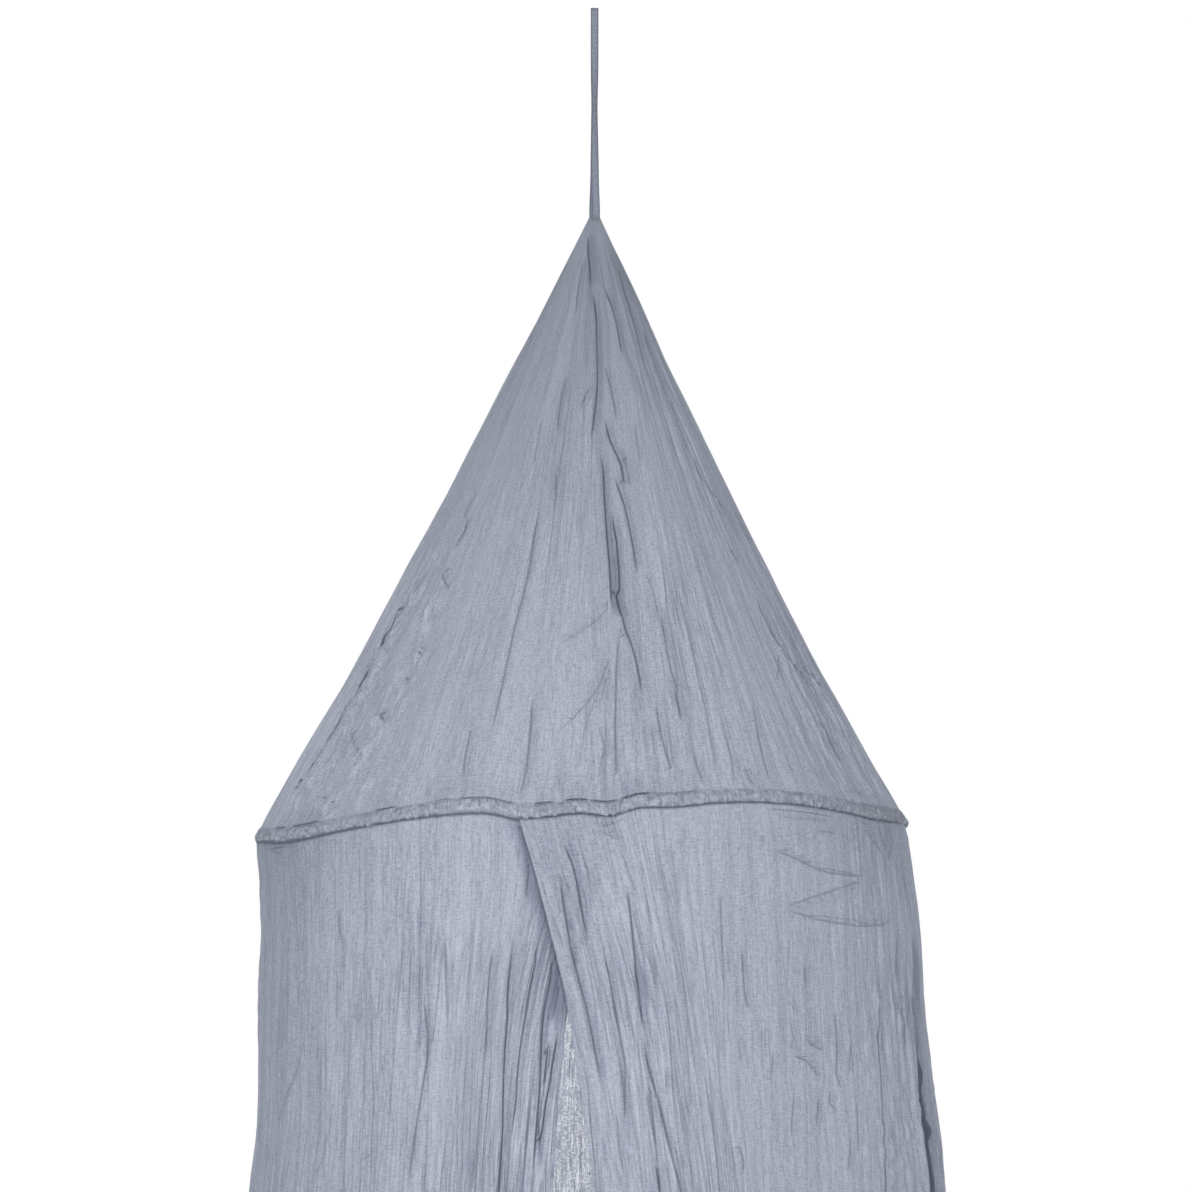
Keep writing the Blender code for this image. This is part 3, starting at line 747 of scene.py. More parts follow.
CURTAIN_DROP = 0.914
CURTAIN_EDGE_OUT = 0.0024  # from the hoop's middle to the sewn top edge
CURTAIN_SWELL, SWELL_DROP = 0.0011, 0.012  # how the cloth fills out below the stitches
# how far the left curtain keeps behind the right one, at the hoop and from a drop below it,
# and the azimuths between which that dies out
LAP_AT_HOOP, LAP_BELOW, LAP_DROP = 0.0024, 0.0045, 0.05
LAP_FULL, LAP_END = 15.0, 40.0
LEFT_EDGE, RIGHT_EDGE = 6.3, -10.0  # azimuths of the two front edges at the hoop
BACK_SEAM = 179.997
HEM_WIDTH = 0.003
BOTTOM_HEM = 0.020
HEM_TOP = CURTAIN_DROP - BOTTOM_HEM
HEM_PROUD = 0.0007  # a hem is folded twice, so it stands a little proud
HEM_STITCHES = 0.0012  # from the edge of the fold in to its row of stitches
TOP_GROOVE = 0.0046  # the drop down to which the top edge is in the groove below the casing, where it is painted with a shade line
GROOVE_DEEPEST = -58  # azimuth where the groove's painted shade line is widest
# width, length and height of each size of crinkle
CURTAIN_CRINKLE = [(0.016, 0.20, 0.0019), (0.0085, 0.11, 0.0016), (0.0052, 0.07, 0.0011)]
# heights of the crumples high and low on the right, and the change of their painted shade for each metre of
# height
HIGH_CRUMPLE, LOW_CRUMPLE, CURTAIN_CRUMPLE_SHADE = 0.0030, 0.0032, 90
# distance from the front edge, width and strength of the bunched crinkle beside it
BUNCHES = {"left": (0.024, 0.026, 2.0), "right": (0.035, 0.035, 0.9)}

# drop, how far the cloth stands out from the hoop on the left, front, right and back
CURTAIN_FLARE = [
    (0.000, 0.0, 0.0, 0.0, 0.0),
    (0.030, -0.0042, 0.0010, 0.0032, 0.0),
    (0.075, -0.0058, 0.0030, 0.0095, 0.0030),
    (0.145, -0.0050, 0.0060, 0.0145, 0.0080),
    (0.215, -0.0040, 0.0090, 0.0236, 0.0130),
    (0.275, 0.0030, 0.0130, 0.0300, 0.0180),
    (0.550, 0.0310, 0.0360, 0.0470, 0.0400),
    (CURTAIN_DROP, 0.0680, 0.0660, 0.0740, 0.0700),
]
# drop, azimuth of the left and the right curtain's front edge
FRONT_EDGES = [
    (0.000, LEFT_EDGE, RIGHT_EDGE), (0.050, 3.4, -6.6), (0.140, -1.9, -1.8), (0.265, -4.2, 2.2),
    (0.550, -8.0, 8.5), (CURTAIN_DROP, -11.8, 15.3),
]
# azimuth at the hoop, width in degrees, depth (below zero for a valley), drop where it starts
# and is full
LEFT_FOLDS = [
    (3, 2.5, -0.0030, 0.08, 0.30), (-4, 3.0, 0.0030, 0.08, 0.30), (-11, 4.0, -0.0030, 0.10, 0.40),
    (-26, 7.0, 0.0060, 0.25, 0.90), (-44, 7.0, -0.0070, 0.25, 0.90), (-61, 8.0, 0.0080, 0.20, 0.90),
    (-80, 7.0, -0.0080, 0.20, 0.90), (-99, 8.0, 0.0100, 0.15, 0.90), (-118, 7.0, -0.0090, 0.12, 0.90),
    (-137, 8.0, 0.0100, 0.12, 0.90), (-156, 7.0, -0.0080, 0.15, 0.90),
]
RIGHT_FOLDS = [
    (-4, 2.5, -0.0030, 0.04, 0.30), (3.5, 3.0, -0.0035, 0.05, 0.30), (11, 4.0, 0.0030, 0.08, 0.40),
    (24, 7.0, 0.0060, 0.25, 0.90), (39, 7.0, -0.0070, 0.25, 0.90), (54, 7.0, 0.0060, 0.20, 0.90),
    (80, 6.0, -0.0050, 0.05, 0.30), (94, 6.0, 0.0060, 0.10, 0.90),
    (112, 7.0, -0.0090, 0.12, 0.90), (131, 8.0, 0.0100, 0.12, 0.90), (152, 7.0, -0.0080, 0.15, 0.90),
]
# drop, azimuth of the deep fold that gapes at the right side, its depth
SIDE_FOLD = [
    (0.000, 79.0, 0.0), (0.030, 78.0, 0.0), (0.060, 75.0, 0.0015), (0.100, 71.0, 0.0040),
    (0.150, 66.5, 0.0070), (0.200, 64.0, 0.0095), (0.275, 62.0, 0.0120), (0.500, 60.0, 0.0110),
    (CURTAIN_DROP, 58.0, 0.0060),
]
# strength, then the azimuth at the hoop and the drop of points down each crease
LEFT_CREASES = [
    (0.6, [(-6.5, 0.03), (-6.3, 0.045), (-5.8, 0.057)]),
    (1.1, [
        (-6.3, 0.081), (-5.6, 0.1), (-5.0, 0.118), (-3.9, 0.145),
        (-3.4, 0.187), (-2.9, 0.221), (-2.7, 0.27), (-3.2, 0.36),
    ]),
    (1.0, [
        (-2.1, 0.088), (-1.3, 0.103), (-1.1, 0.12), (-1.0, 0.14),
        (-1.1, 0.177), (-1.0, 0.199), (-1.3, 0.229),
    ]),
    (1.1, [
        (1.4, 0.095), (2.2, 0.117), (2.1, 0.135), (2.3, 0.152),
        (2.6, 0.169), (2.9, 0.195), (2.7, 0.25),
    ]),
    (0.7, [(4.0, 0.119), (4.0, 0.132), (3.7, 0.147)]),
    (1.25, [(5.2, 0.153), (4.8, 0.17), (4.6, 0.188), (4.1, 0.203), (3.8, 0.221), (3.2, 0.237)]),
    (0.9, [(3.6, 0.161), (3.6, 0.193)]),
    (0.7, [(-9.0, 0.096), (-8.4, 0.117), (-7.4, 0.147), (-6.9, 0.173)]),
    (0.7, [
        (-19.7, 0.132), (-18.1, 0.156), (-17.6, 0.173), (-18.1, 0.193),
        (-18.5, 0.21), (-18.9, 0.23), (-19.2, 0.26),
    ]),
    (0.45, [(-18.3, 0.086), (-17.0, 0.106), (-15.7, 0.127), (-14.8, 0.147)]),
    (0.4, [(-43.0, 0.061), (-40.0, 0.086), (-38.8, 0.106)]),
    (0.35, [(-40.2, 0.109), (-38.7, 0.134)]),
    (0.5, [(-48.0, 0.147), (-50.9, 0.171), (-55.4, 0.193), (-59.0, 0.211)]),
    (0.4, [(-37.9, 0.189), (-38.6, 0.214), (-40.3, 0.24), (-42.3, 0.253)]),
    (0.3, [(-29.3, 0.111), (-28.8, 0.141)]),
    (0.3, [(-27.4, 0.169), (-25.2, 0.194), (-25.4, 0.211)]),
    (0.35, [(-29.7, 0.242), (-26.7, 0.237)]),
    (0.35, [(-73.4, 0.004), (-62.2, 0.011)]),
]
RIGHT_CREASES = [
    (0.9, [(-4.1, 0.02), (-3.6, 0.037), (-3.8, 0.057), (-4.2, 0.081), (-4.2, 0.092)]),
    (0.8, [(-6.0, 0.041), (-6.8, 0.066), (-7.4, 0.097), (-7.3, 0.12), (-6.9, 0.138), (-6.4, 0.195)]),
    (0.6, [(-2.0, 0.094), (-1.9, 0.115), (-2.1, 0.137), (-1.9, 0.179), (-2.6, 0.197), (-3.3, 0.223)]),
    (0.9, [(4.5, 0.052), (3.8, 0.075), (3.1, 0.098), (2.4, 0.12), (2.1, 0.142), (1.7, 0.161)]),
    (0.8, [
        (1.7, 0.161), (1.7, 0.179), (2.2, 0.195), (2.8, 0.211),
        (3.2, 0.225), (3.9, 0.255), (5.2, 0.3), (6, 0.36),
    ]),
    (0.5, [(1.0, 0.2), (1.1, 0.226), (1.3, 0.242)]),
    (1.0, [(0.8, 0.255), (0.9, 0.263), (0.8, 0.29)]),
    (0.5, [(-4.5, 0.213), (-4.9, 0.239), (-4.6, 0.257)]),
    (0.4, [(4.9, 0.188), (4.2, 0.206)]),
    (0.45, [(19.9, 0.065), (18.7, 0.09), (18.0, 0.107), (17.2, 0.132)]),
    (0.55, [(21.6, 0.108), (20.8, 0.129), (20.6, 0.144), (21.2, 0.151)]),
    (0.55, [(33.6, 0.118), (33.1, 0.132)]),
    # the zigzag below the casing
    (0.5, [(27.0, 0.02), (30.1, 0.028), (32.2, 0.026)], 0.9),
    (0.5, [(31.4, 0.035), (34.8, 0.038), (38.8, 0.044), (43.2, 0.048), (51.4, 0.047), (54.1, 0.043)]),
    (0.4, [(52.8, 0.049), (47.2, 0.056), (40.2, 0.065), (34.8, 0.072), (31.4, 0.077)]),
    (0.5, [
        (31.4, 0.077), (33.8, 0.08), (38.0, 0.083), (42.0, 0.084),
        (48.6, 0.084), (56.0, 0.08), (61.1, 0.075),
    ]),
    # crumples of the lower right
    (0.4, [(28.9, 0.144), (30.6, 0.152)]),
    (0.5, [(28.7, 0.158), (28.8, 0.17), (27.9, 0.179)]),
    (0.55, [(31.2, 0.17), (32.8, 0.175), (34.9, 0.178)]),
    (0.55, [(28.3, 0.183), (30.7, 0.186), (32.1, 0.193), (33.3, 0.198)]),
    (0.5, [(32.4, 0.212), (31.0, 0.232)]),
    (0.45, [(27.2, 0.211), (25.4, 0.241)]),
    (0.35, [(24.4, 0.18), (23.2, 0.197)]),
    (0.5, [(35.1, 0.206), (34.4, 0.217), (36.0, 0.22)]),
    (0.6, [(39.0, 0.15), (38.1, 0.177), (37.0, 0.195), (37.8, 0.206)]),
    (0.55, [(41.2, 0.212), (39.8, 0.248)]),
    (0.5, [(41.9, 0.17), (40.0, 0.194)]),
    (0.7, [(53.8, 0.111), (52.3, 0.136), (50.2, 0.164), (49.2, 0.191), (47.8, 0.219), (44.7, 0.3)]),
    (0.6, [(62.1, 0.087), (59.4, 0.117)]),
    (0.5, [(61.1, 0.127), (60.4, 0.153), (59.2, 0.172)]),
    (0.5, [(15.1, 0.266), (15.8, 0.258), (15.4, 0.247), (13.9, 0.247)]),
    (0.4, [(18.1, 0.17), (17.9, 0.188)]),
    (0.4, [(22.9, 0.162), (22.0, 0.18)]),
    (0.5, [(38.1, 0.241), (36.5, 0.263)]),
    # pulls under the casing
    (0.5, [(57.0, 0.01), (59.7, 0.018), (61.9, 0.025)]),
    (0.3, [(63.6, 0.013), (64.6, 0.03)]),
    (0.5, [(67.3, 0.011), (66.0, 0.029)]),
    (0.4, [(43.5, 0.018), (47.4, 0.018)]),
    (0.5, [(0.6, 0.006), (3.0, 0.006), (5.6, 0.007)]),
    (0.4, [(2.9, 0.012), (4.0, 0.015), (5.1, 0.019)]),
    (0.35, [(34.4, 0.010), (39.1, 0.011), (46.3, 0.009)]),
]


def curtain_crinkle(across, down, seed):
    """Crinkle that runs down the cloth in long forking valleys between rounded ridges."""
    drift = 0.0045 * uneven(across / 0.055, down / 0.13, seed)
    drift += 0.0014 * uneven(across / 0.02, down / 0.05, seed + 1)
    wide, middle, narrow = (
        tall * ridged(uneven((across + drift) / width, down / long, seed + number))
        for number, (width, long, tall) in enumerate(CURTAIN_CRINKLE, start=2)
    )
    patch = 0.8 + 0.8 * uneven(across / 0.10, down / 0.14, seed + 5)
    small = 0.9 + 0.7 * uneven(across / 0.05, down / 0.07, seed + 6)
    return (wide + middle) * patch + narrow * small


def curtain_azimuth(place, drop, side):
    """Azimuth of a thread at a drop. Its place is the azimuth where it leaves the hoop."""
    column = 1 if side == "left" else 2
    edge_at_hoop = FRONT_EDGES[0][column]
    edge_here = table_value(FRONT_EDGES, drop, column)
    back = BACK_SEAM if side == "right" else -BACK_SEAM
    return edge_here + (back - edge_here) * (place - edge_at_hoop) / (back - edge_at_hoop)


def curtain_points(place, drop, side, folds, height):
    """Points on a hanging curtain, moved out from it by a height."""
    azimuth = curtain_azimuth(place, drop, side)
    out = CURTAIN_EDGE_OUT + CURTAIN_SWELL * ramp(drop, 0, SWELL_DROP)
    deeper = 1 + 0.7 * ramp(drop, 0.3, 0.75)
    edge_out = np.full(drop.shape, CURTAIN_EDGE_OUT)
    if side == "left":
        lapped = 1 - ramp(np.abs(azimuth), LAP_FULL, LAP_END)
        edge_out = edge_out - LAP_AT_HOOP * lapped
        out = out - (LAP_AT_HOOP + (LAP_BELOW - LAP_AT_HOOP) * ramp(drop, 0, LAP_DROP)) * lapped
    else:
        beyond = place - table_value(SIDE_FOLD, drop)
        deep = table_value(SIDE_FOLD, drop, 2)
        out = out - deep * bell(beyond, 1.7) + 0.3 * deep * bell(beyond + 3, 1.8)
    out = out + side_value(CURTAIN_FLARE, drop, azimuth) + fold_height(folds, place, drop) * deeper + height
    points = hoop_line(azimuth, out, 0)
    points[..., 2] -= drop + np.sqrt((CASING_RADIUS + 0.0003) ** 2 - edge_out**2)
    return points


def make_curtain(side, columns, folds, creases, seed):
    drops = np.concatenate((
        [0, 0.0012, 0.0025, 0.0045, 0.007], np.linspace(0.0105, 0.29, 80), np.linspace(0.302, 0.89, 24),
        [HEM_TOP, HEM_TOP + 0.001, CURTAIN_DROP - 0.01, CURTAIN_DROP],
    ))
    place, drop = np.meshgrid(columns, drops)
    front = columns[0] if side == "right" else columns[-1]
    behind = ramp(np.abs(place), 140, 165)
    smooth = between(place, 10, 18, 44, 60)
    # the crinkle follows the slanting front edge, and hangs upright away from it
    upright = ramp(-place, -1, 16) if side == "left" else ramp(place, 3, 20)
    across = np.radians(place + (curtain_azimuth(place, drop, side) - place) * upright) * HOOP_RADIUS
    degree = np.full(place.shape, math.radians(1) * HOOP_RADIUS)
    from_edge = np.abs(place - front) * degree
    bunch_middle, bunch_width, more = BUNCHES[side]
    bunched = 1 + more * bell(from_edge - bunch_middle, bunch_width) * ramp(drop, 0.03, 0.12)
    pressed, mark_side, crease, painted_shade = press_creases(place, drop, degree, creases)
    height = curtain_crinkle(across, drop, seed) * bunched * (0.25 + 0.75 * ramp(drop, 0, 0.03))
    height *= (1 - 0.45 * smooth) * (1 + 0.5 * behind)
    # small crumples under the right end of the hoop and lower down on the right, with painted shade in their
    # valleys and a painted highlight on their ridges
    if side == "right":
        corner = between(place, 58, 66, 72, 80) * between(drop, 0.003, 0.008, 0.03, 0.055)
        crumple = HIGH_CRUMPLE * corner * ridged(uneven(place / 2.4, drop / 0.009, 62), 0.3)
        lower = between(place, 36, 50, 72, 80) * between(drop, 0.10, 0.16, 0.4, 0.6)
        lower = lower * ramp(uneven(place / 9, drop / 0.05, 64), -0.4, 0.3)
        crumple += LOW_CRUMPLE * lower * ridged(uneven(across / 0.010, drop / 0.016, 63), 0.3)
        height += crumple
        painted_shade -= CURTAIN_CRUMPLE_SHADE * crumple
    # pulls from the stitches that gather the top edge
    gathers = ridged(uneven(across / 0.006, drop / 0.02, seed + 8))
    height += 0.0007 * gathers * between(drop, 0, 0.003, 0.006, 0.03)
    hem = 1 - ramp(from_edge, HEM_WIDTH - HEM_STITCHES, HEM_WIDTH)
    hem = np.maximum(hem, ramp(drop, HEM_TOP - 0.001, HEM_TOP + 0.001))
    points = curtain_points(place, drop, side, folds, height + pressed + HEM_PROUD * hem)

    # a painted shade line in the groove between the casing and the curtain's top edge
    top = drop < TOP_GROOVE
    deepest = 0.0006 + 0.0014 * bell(place - GROOVE_DEEPEST, 16)
    slope = 0.62 + 0.10 * uneven(place / 3, 0, seed + 7) - 0.16 * bell(place - GROOVE_DEEPEST, 13)
    mark_side = np.where(top, (drop - deepest) * slope, mark_side)
    crease = np.where(top, 0.95, crease)
    if side == "left":
        # painted shadow where the right curtain's edge keeps the light off the left one beside it, with a
        # dark line along the edge
        azimuth = np.degrees(np.arctan2(points[..., 0] - HOOP_SHIFT, -points[..., 1]))
        beside = (azimuth - table_value(FRONT_EDGES, drop, 2)) * degree
        faint = 1 - ramp(drop, 0.13, 0.19)
        painted_shade += (0.8 * bell(beside + 0.0005, 0.0022) + 0.5 * bell(beside + 0.004, 0.0060)) * faint
        close = (np.abs(beside + 0.0008) < 0.003) & ~top
        mark_side = np.where(close, beside + 0.0008, mark_side)
        crease = np.where(close, 0.75 * faint, crease)
        # painted shade, darker towards the left side
        painted_shade += 0.24 * ramp(-place, 36, 62) * (1 - behind)
    else:
        # the deep fold at the side gapes: painted shade beyond its edge, deepest in a painted dark slit, and
        # a painted highlight on its ridge
        beyond = place - table_value(SIDE_FOLD, drop)
        gaping = ramp(drop, 0.05, 0.12)
        painted_shade += gaping * (0.5 * bell(beyond - 1, 2) + 0.22 * ramp(beyond, 0, 3))
        painted_shade -= 0.5 * gaping * bell(beyond + 1.7, 0.8)
        off_slit = np.abs(beyond - 1.6)
        slit_width = 0.25 + 0.6 * ramp(drop, 0.18, 0.26) + 0.45 * uneven(drop / 0.014, 0, 90)
        mark_side = np.where(off_slit < 2, np.maximum(off_slit - slit_width, 0) * degree, mark_side)
        crease = np.where(off_slit < 2, 1.1 * between(drop, 0.15, 0.19, 0.5, 0.8), crease)
    # painted shade where less light reaches the valleys of the folds and the cloth under the hoop's sides,
    # and a painted highlight on the folds' crests
    painted_shade -= 13 * fold_height(folds, place, drop) * ramp(drop, 0.25, 0.6)
    painted_shade += 0.20 * bell(drop, 0.045) * ramp(np.abs(place), 28, 55) * (1 - behind)
    patch = uneven(across / 0.07, drop / 0.11, seed + 9)
    fine = (0.55 + 0.45 * ramp(drop, 0, 0.05)) * (0.85 + 0.5 * patch) * (1 - 0.55 * smooth)
    fine *= (1 + 0.40 * (bunched - 1) + 0.6 * behind) * (1 - 0.2 * ramp(-place, 25, 50) * (1 - behind))
    marks = {
        "fine": fine, "crease_side": mark_side, "crease": crease, "painted_shade": painted_shade,
        "double": np.maximum(0.82 * (1 - behind), 0.8 * hem),
    }
    flat = np.stack((across, drop), -1)
    return cloth_piece(f"curtain_{side}_cloth", points, flat, marks)


left_columns = columns_between(
    (-BACK_SEAM, -150, 0.0026), (-150, -96, 0.0042), (-96, -66, 0.0024), (-66, -26, 0.0019),
    (-26, LEFT_EDGE, 0.0010),
)
right_columns = columns_between(
    (RIGHT_EDGE, 24, 0.0010), (24, 54, 0.0019), (54, 82, 0.0013), (82, 98, 0.0021),
    (98, 150, 0.0048), (150, BACK_SEAM, 0.0030),
)
curtain_left = make_curtain("left", np.append(left_columns, LEFT_EDGE), LEFT_FOLDS, LEFT_CREASES, 50)
curtain_right = make_curtain("right", np.append(right_columns, BACK_SEAM), RIGHT_FOLDS, RIGHT_CREASES, 70)
finish_cloth(curtain_left, "curtain_left")
finish_cloth(curtain_right, "curtain_right")


# ---------------------------------------------------------------------------------------
# The hanging loop: one length of flat woven cotton tape, folded in two. Its bend takes the
# ceiling hook, and its two ends go down into the point of the roof and are sewn there.

TAPE_WIDTH = 0.0060
TAPE_THICKNESS = 0.0009
EYE_RADIUS = 0.0050
TAPE_TAIL = 0.012  # length inside the roof's point
TAIL_SPREAD = 0.0009  # half the distance between the two ends
TAIL_STRAIGHT = 0.006  # above the collar, where the two sides begin to part
TAPE_BOW = 0.00018
RIB_PITCH = 0.0011
# distance below the hook, twist of each strand in degrees, and its shift to one side
TAPE_TURNS = [
    (0.000, 0, 0.0), (0.045, 20, 0.0), (0.072, 44, 0.0), (0.092, 40, 0.0), (0.120, 15, 0.0001),
    (0.140, 0, 0.0004), (0.160, 0, 0.0011), (0.190, 0, 0.0011),
]
TAPE_LIGHT = (0.275, 0.298, 0.365, 1)
TAPE_DARK = (0.095, 0.105, 0.140, 1)


def make_tape_material():
    tape, tree, shader = new_material("tape")
    place = add_node(tree, "ShaderNodeUVMap", uv_map="cloth").outputs[0]
    flat = add_node(tree, "ShaderNodeSeparateXYZ", {"Vector": place}).outputs
    # a herringbone of slanting ribs, which turns back at the middle of the tape
    lean = maths(tree, "ABSOLUTE", flat["X"])
    ribs = maths(tree, "MULTIPLY_ADD", lean, 0.8, flat["Y"])
    ribs = maths(tree, "SINE", maths(tree, "MULTIPLY", ribs, math.tau / RIB_PITCH))
    cloud = add_node(tree, "ShaderNodeTexNoise", {"Vector": place, "Scale": 800.0, "Detail": 3.0}).outputs[0]
    # the two edges are darker
    edge = maths(tree, "SUBTRACT", 1.0, maths(tree, "MULTIPLY", lean, 1 / (TAPE_WIDTH / 2)))
    edge = maths(tree, "MINIMUM", maths(tree, "MULTIPLY", edge, 1.9), 1.0)
    tone = maths(tree, "MULTIPLY_ADD", ribs, 0.18, maths(tree, "MULTIPLY_ADD", cloud, 1.9, -0.62))
    tone = maths(tree, "ADD", tone, 0.15)
    tone = maths(tree, "MULTIPLY", tone, maths(tree, "MULTIPLY_ADD", edge, 0.95, 0.1))
    height = maths(tree, "MULTIPLY_ADD", ribs, 0.00006, maths(tree, "MULTIPLY", cloud, 0.00012))
    bump = add_node(tree, "ShaderNodeBump", {"Height": height, "Distance": 1.0}).outputs[0]
    wire(tree, shader, {
        "Base Color": mixed(tree, tone, TAPE_DARK, TAPE_LIGHT), "Normal": bump, "Roughness": 0.85,
        "Specular IOR Level": 0.2,
    })
    return tape


def make_tape_loop():
    bend = EYE_RADIUS + TAPE_THICKNESS / 2
    level = np.linspace(COLLAR_LEVEL - TAPE_TAIL, -EYE_RADIUS, 70)[:-1]
    off = TAIL_SPREAD + (bend - TAIL_SPREAD) * ramp(level, COLLAR_LEVEL + TAIL_STRAIGHT, -EYE_RADIUS)
    turn = np.linspace(0, math.pi, 25)
    level = np.concatenate((level, bend * np.sin(turn) - EYE_RADIUS, level[::-1]))
    off = np.concatenate((off, bend * np.cos(turn), -off[::-1]))
    below = np.maximum(-level, 0)
    twist = np.radians(table_value(TAPE_TURNS, below))
    aside = table_value(TAPE_TURNS, below, 2) * np.sign(off)
    length = run_length(off, level)
    across = np.linspace(-0.5, 0.5, 9) * TAPE_WIDTH
    bow = TAPE_BOW * np.cos(across / TAPE_WIDTH * math.tau)
    x = aside[:, None] + across * np.cos(twist)[:, None] + bow * np.sin(twist)[:, None]
    y = -off[:, None] + across * np.sin(twist)[:, None] - bow * np.cos(twist)[:, None]
    points = np.stack(np.broadcast_arrays(x, y, level[:, None]), -1)
    flat = np.stack(np.broadcast_arrays(across, length[:, None]), -1)
    loop = cloth_piece("tape_loop", points[::-1], flat[::-1], {})
    loop.modifiers["thickness"].thickness = TAPE_THICKNESS
    loop.data.materials.append(make_tape_material())
    return loop


tape_loop = make_tape_loop()
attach(tape_loop, "root")
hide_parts("hang_loop")


# ---------------------------------------------------------------------------------------
# The stitching: rows of plain machine stitches in thread of the muslin's colour, along the
# casing, the roof's centre front seam and the curtains' hems.

STITCH_LENGTH = 0.0026
STITCH_GAP = 0.0007
THREAD_RADIUS = 0.00024
STITCH_SLANT = 0.10  # how far a stitch may turn to each side, in radians
THREAD_DARK = (0.252, 0.2695, 0.322, 1)
THREAD_LIGHT = (0.468, 0.5005, 0.598, 1)
SEAM_STITCHES = 4.4  # azimuth of the row down the roof
ABOVE_CLOTH = CLOTH / 2 + 0.0001


def make_thread():
    thread, tree, shader = new_material("thread")
    place = add_node(tree, "ShaderNodeTexCoord").outputs["Object"]
    cloud = add_node(tree, "ShaderNodeTexNoise", {"Vector": place, "Scale": 700.0}).outputs[0]
    wire(tree, shader, {"Base Color": mixed(tree, cloud, THREAD_DARK, THREAD_LIGHT), "Roughness": 0.7})
    return thread


def make_stitch_tree():
    """Geometry nodes that lay stitches end to end along every line of a mesh."""
    tree = bpy.data.node_groups.new("row_of_stitches", "GeometryNodeTree")
    add_sockets(tree, "INPUT", {
        "Lines": "Geometry", "Stitch Length": "Float", "Gap": "Float", "Thread Radius": "Float",
        "Seed": "Int", "Thread": "Material",
    })
    add_sockets(tree, "OUTPUT", {"Stitches": "Geometry"})
    given = add_node(tree, "NodeGroupInput").outputs
    line = add_node(tree, "GeometryNodeMeshToCurve", {"Mesh": given["Lines"]}).outputs[0]
    step = maths(tree, "ADD", given["Stitch Length"], given["Gap"])
    spots = add_node(tree, "GeometryNodeCurveToPoints", {"Curve": line, "Length": step}, mode="LENGTH")
    ball = add_node(tree, "GeometryNodeMeshUVSphere", {"Segments": 6, "Rings": 4, "Radius": 1.0}).outputs[0]
    size = add_node(tree, "ShaderNodeCombineXYZ", {
        "X": given["Thread Radius"], "Y": given["Thread Radius"],
        "Z": maths(tree, "MULTIPLY", given["Stitch Length"], 0.5),
    }).outputs[0]
    stitch = add_node(tree, "GeometryNodeTransform", {"Geometry": ball, "Scale": size}).outputs[0]
    laid = add_node(tree, "GeometryNodeInstanceOnPoints", {
        "Points": spots.outputs["Points"], "Instance": stitch, "Rotation": spots.outputs["Rotation"],
    }).outputs[0]
    slant = add_node(tree, "FunctionNodeRandomValue", {
        "Min": (-STITCH_SLANT, -STITCH_SLANT, 0.0), "Max": (STITCH_SLANT, STITCH_SLANT, 0.0),
        "Seed": given["Seed"],
    }, data_type="FLOAT_VECTOR").outputs[0]
    laid = add_node(tree, "GeometryNodeRotateInstances", {"Instances": laid, "Rotation": slant}).outputs[0]
    real = add_node(tree, "GeometryNodeRealizeInstances", {"Geometry": laid}).outputs[0]
    done = add_node(tree, "GeometryNodeSetMaterial", {"Geometry": real, "Material": given["Thread"]})
    add_node(tree, "NodeGroupOutput", {"Stitches": done.outputs[0]})
    return tree


thread = make_thread()
stitch_tree = make_stitch_tree()


def sew(name, lines, seed):
    """A piece of stitches along lines of points."""
    points, edges = [], []
    for line in lines:
        start = len(points)
        points += line.tolist()
        edges += [(start + step, start + step + 1) for step in range(len(line) - 1)]
    data = bpy.data.meshes.new(name + "_lines")
    data.from_pydata(points, edges, [])
    rows = add_object(name + "_lines", data)
    sewing = rows.modifiers.new("stitches", "NODES")
    sewing.node_group = stitch_tree
    values = {
        "Stitch Length": STITCH_LENGTH, "Gap": STITCH_GAP, "Thread Radius": THREAD_RADIUS,
        "Seed": seed, "Thread": thread,
    }
    for item in stitch_tree.interface.items_tree:
        if item.name in values:
            sewing[item.identifier] = values[item.name]
    graph = bpy.context.evaluated_depsgraph_get()
    mesh = bpy.data.meshes.new_from_object(rows.evaluated_get(graph))
    bpy.data.objects.remove(rows, do_unlink=True)
    mesh.name = name
    mesh.shade_smooth()
    piece = add_object(name, mesh)
    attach(piece, "root")


round_hoop = np.arange(-180, 180.5, 0.5)
sew("stitching_casing", [
    hoop_line(round_hoop, *sleeve_place(CASING_RISE - 0.0016, 0.0032 + ABOVE_CLOTH)),
    hoop_line(round_hoop, *sleeve_place(-CASING_RADIUS * 0.90, CASING_RADIUS * 0.52 + ABOVE_CLOTH)),
], 1)
seam_ways = np.linspace(0.03, 0.975, 90)
on_seam = np.full(seam_ways.shape, ABOVE_CLOTH)
sew("stitching_roof", [roof_points(np.full(seam_ways.shape, SEAM_STITCHES), seam_ways, on_seam)], 2)
edge_drops = np.linspace(0.01, CURTAIN_DROP - 0.004, 150)
for side, folds, edge, back in (
    ("left", LEFT_FOLDS, LEFT_EDGE, -BACK_SEAM), ("right", RIGHT_FOLDS, RIGHT_EDGE, BACK_SEAM),
):
    inside = edge + math.copysign(math.degrees((HEM_WIDTH - HEM_STITCHES) / HOOP_RADIUS), back)
    rows = []
    for places, hem_drops in (
        (np.full(150, inside), edge_drops),
        (np.linspace(inside, back, 240), np.full(240, HEM_TOP + 0.0015)),
    ):
        on_hem = np.full(places.shape, HEM_PROUD + ABOVE_CLOTH)
        rows.append(curtain_points(places, hem_drops, side, folds, on_hem))
    sew(f"stitching_curtain_{side}", rows, 3)


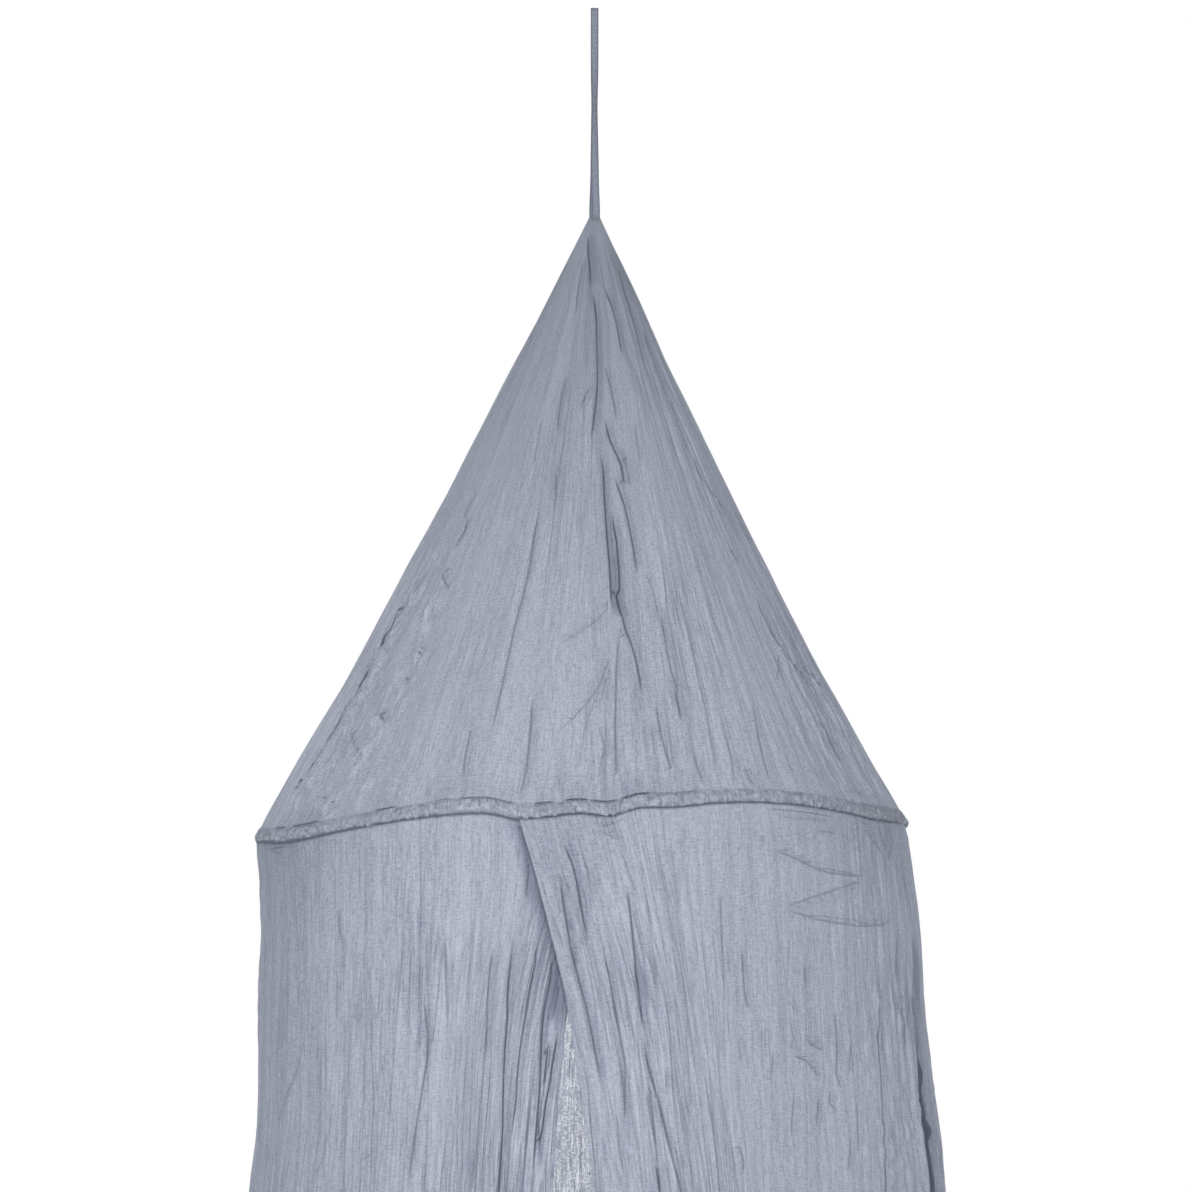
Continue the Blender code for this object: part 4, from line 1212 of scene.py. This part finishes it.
# ---------------------------------------------------------------------------------------
# The studio: a plain pale floor below the hem that fades into a white surround, a broad soft
# light from the left front, a weaker one from the right and one from behind that shines
# through the net. The camera stands in front, low down, and looks up a little.

FLOOR_LEVEL = -1.66
FLOOR_HALF = 4
FLOOR_DARK = (0.80, 0.80, 0.80, 1)
FLOOR_LIGHT = (0.84, 0.84, 0.84, 1)
SURROUND_LIGHT = 0.45
# name, place, what it points at, size, power
LIGHTS = [
    ("key", (-1.95, -4.4, 0.1), (0, 0, -0.85), 1.3, 177),
    ("fill", (3.8, -3.3, 0.0), (0, 0, -0.85), 2.6, 90),
    ("back", (0.8, 4.6, 0.0), (0, 0, -0.9), 3.2, 134),
]
CAMERA_PLACE = (0.0011, -3.5, -0.92)
CAMERA_TURN = (math.radians(97.409), 0, 0)
CAMERA_SENSOR, CAMERA_LENS = 36.0, 137.98  # millimetres


def make_floor():
    """A floor that fades into the white surround some way out."""
    data = bpy.data.meshes.new("floor")
    corners = [
        (x * FLOOR_HALF, y * FLOOR_HALF, FLOOR_LEVEL) for x, y in ((-1, -1), (1, -1), (1, 1), (-1, 1))
    ]
    data.from_pydata(corners, [], [(0, 1, 2, 3)])
    material, tree, shader = new_material("floor_paint")
    place = add_node(tree, "ShaderNodeTexCoord").outputs["Object"]
    cloud = add_node(tree, "ShaderNodeTexNoise", {"Vector": place, "Scale": 3.0}).outputs[0]
    flat = add_node(tree, "ShaderNodeSeparateXYZ", {"Vector": place}).outputs
    far = maths(tree, "MULTIPLY_ADD", flat["Y"], flat["Y"], maths(tree, "MULTIPLY", flat["X"], flat["X"]))
    faded = add_node(tree, "ShaderNodeMapRange", {
        "Value": maths(tree, "SQRT", far), "From Min": 0.9, "From Max": 2.6, "To Min": 1.0, "To Max": 0.0,
    }, interpolation_type="SMOOTHSTEP").outputs[0]
    wire(tree, shader, {
        "Base Color": mixed(tree, cloud, FLOOR_DARK, FLOOR_LIGHT), "Alpha": faded, "Roughness": 0.9,
    })
    data.materials.append(material)
    add_object("floor", data)


def make_surround():
    """White where the camera sees it, and dimmer as a light."""
    world = bpy.data.worlds.new("surround")
    bpy.context.scene.world = world
    world.use_nodes = True
    tree = world.node_tree
    seen = add_node(tree, "ShaderNodeLightPath").outputs["Is Camera Ray"]
    strength = maths(tree, "MULTIPLY_ADD", seen, 1.0 - SURROUND_LIGHT, SURROUND_LIGHT)
    wire(tree, tree.nodes["Background"], {"Color": (1, 1, 1, 1), "Strength": strength})


def add_light(name, place, towards, size, power):
    data = bpy.data.lights.new(name, "AREA")
    data.shape = "DISK"
    data.size = size
    data.energy = power
    light = add_object(name, data)
    light.location = place
    light.rotation_euler = (Vector(towards) - Vector(place)).to_track_quat("-Z", "Y").to_euler()


make_floor()
make_surround()
for light in LIGHTS:
    add_light(*light)

camera_data = bpy.data.cameras.new("camera")
camera_data.sensor_width = CAMERA_SENSOR
camera_data.lens = CAMERA_LENS
camera_data.clip_end = 50.0
camera = add_object("camera", camera_data)
camera.location = CAMERA_PLACE
camera.rotation_euler = CAMERA_TURN
bpy.context.scene.camera = camera
bpy.context.scene.view_settings.view_transform = "Standard"
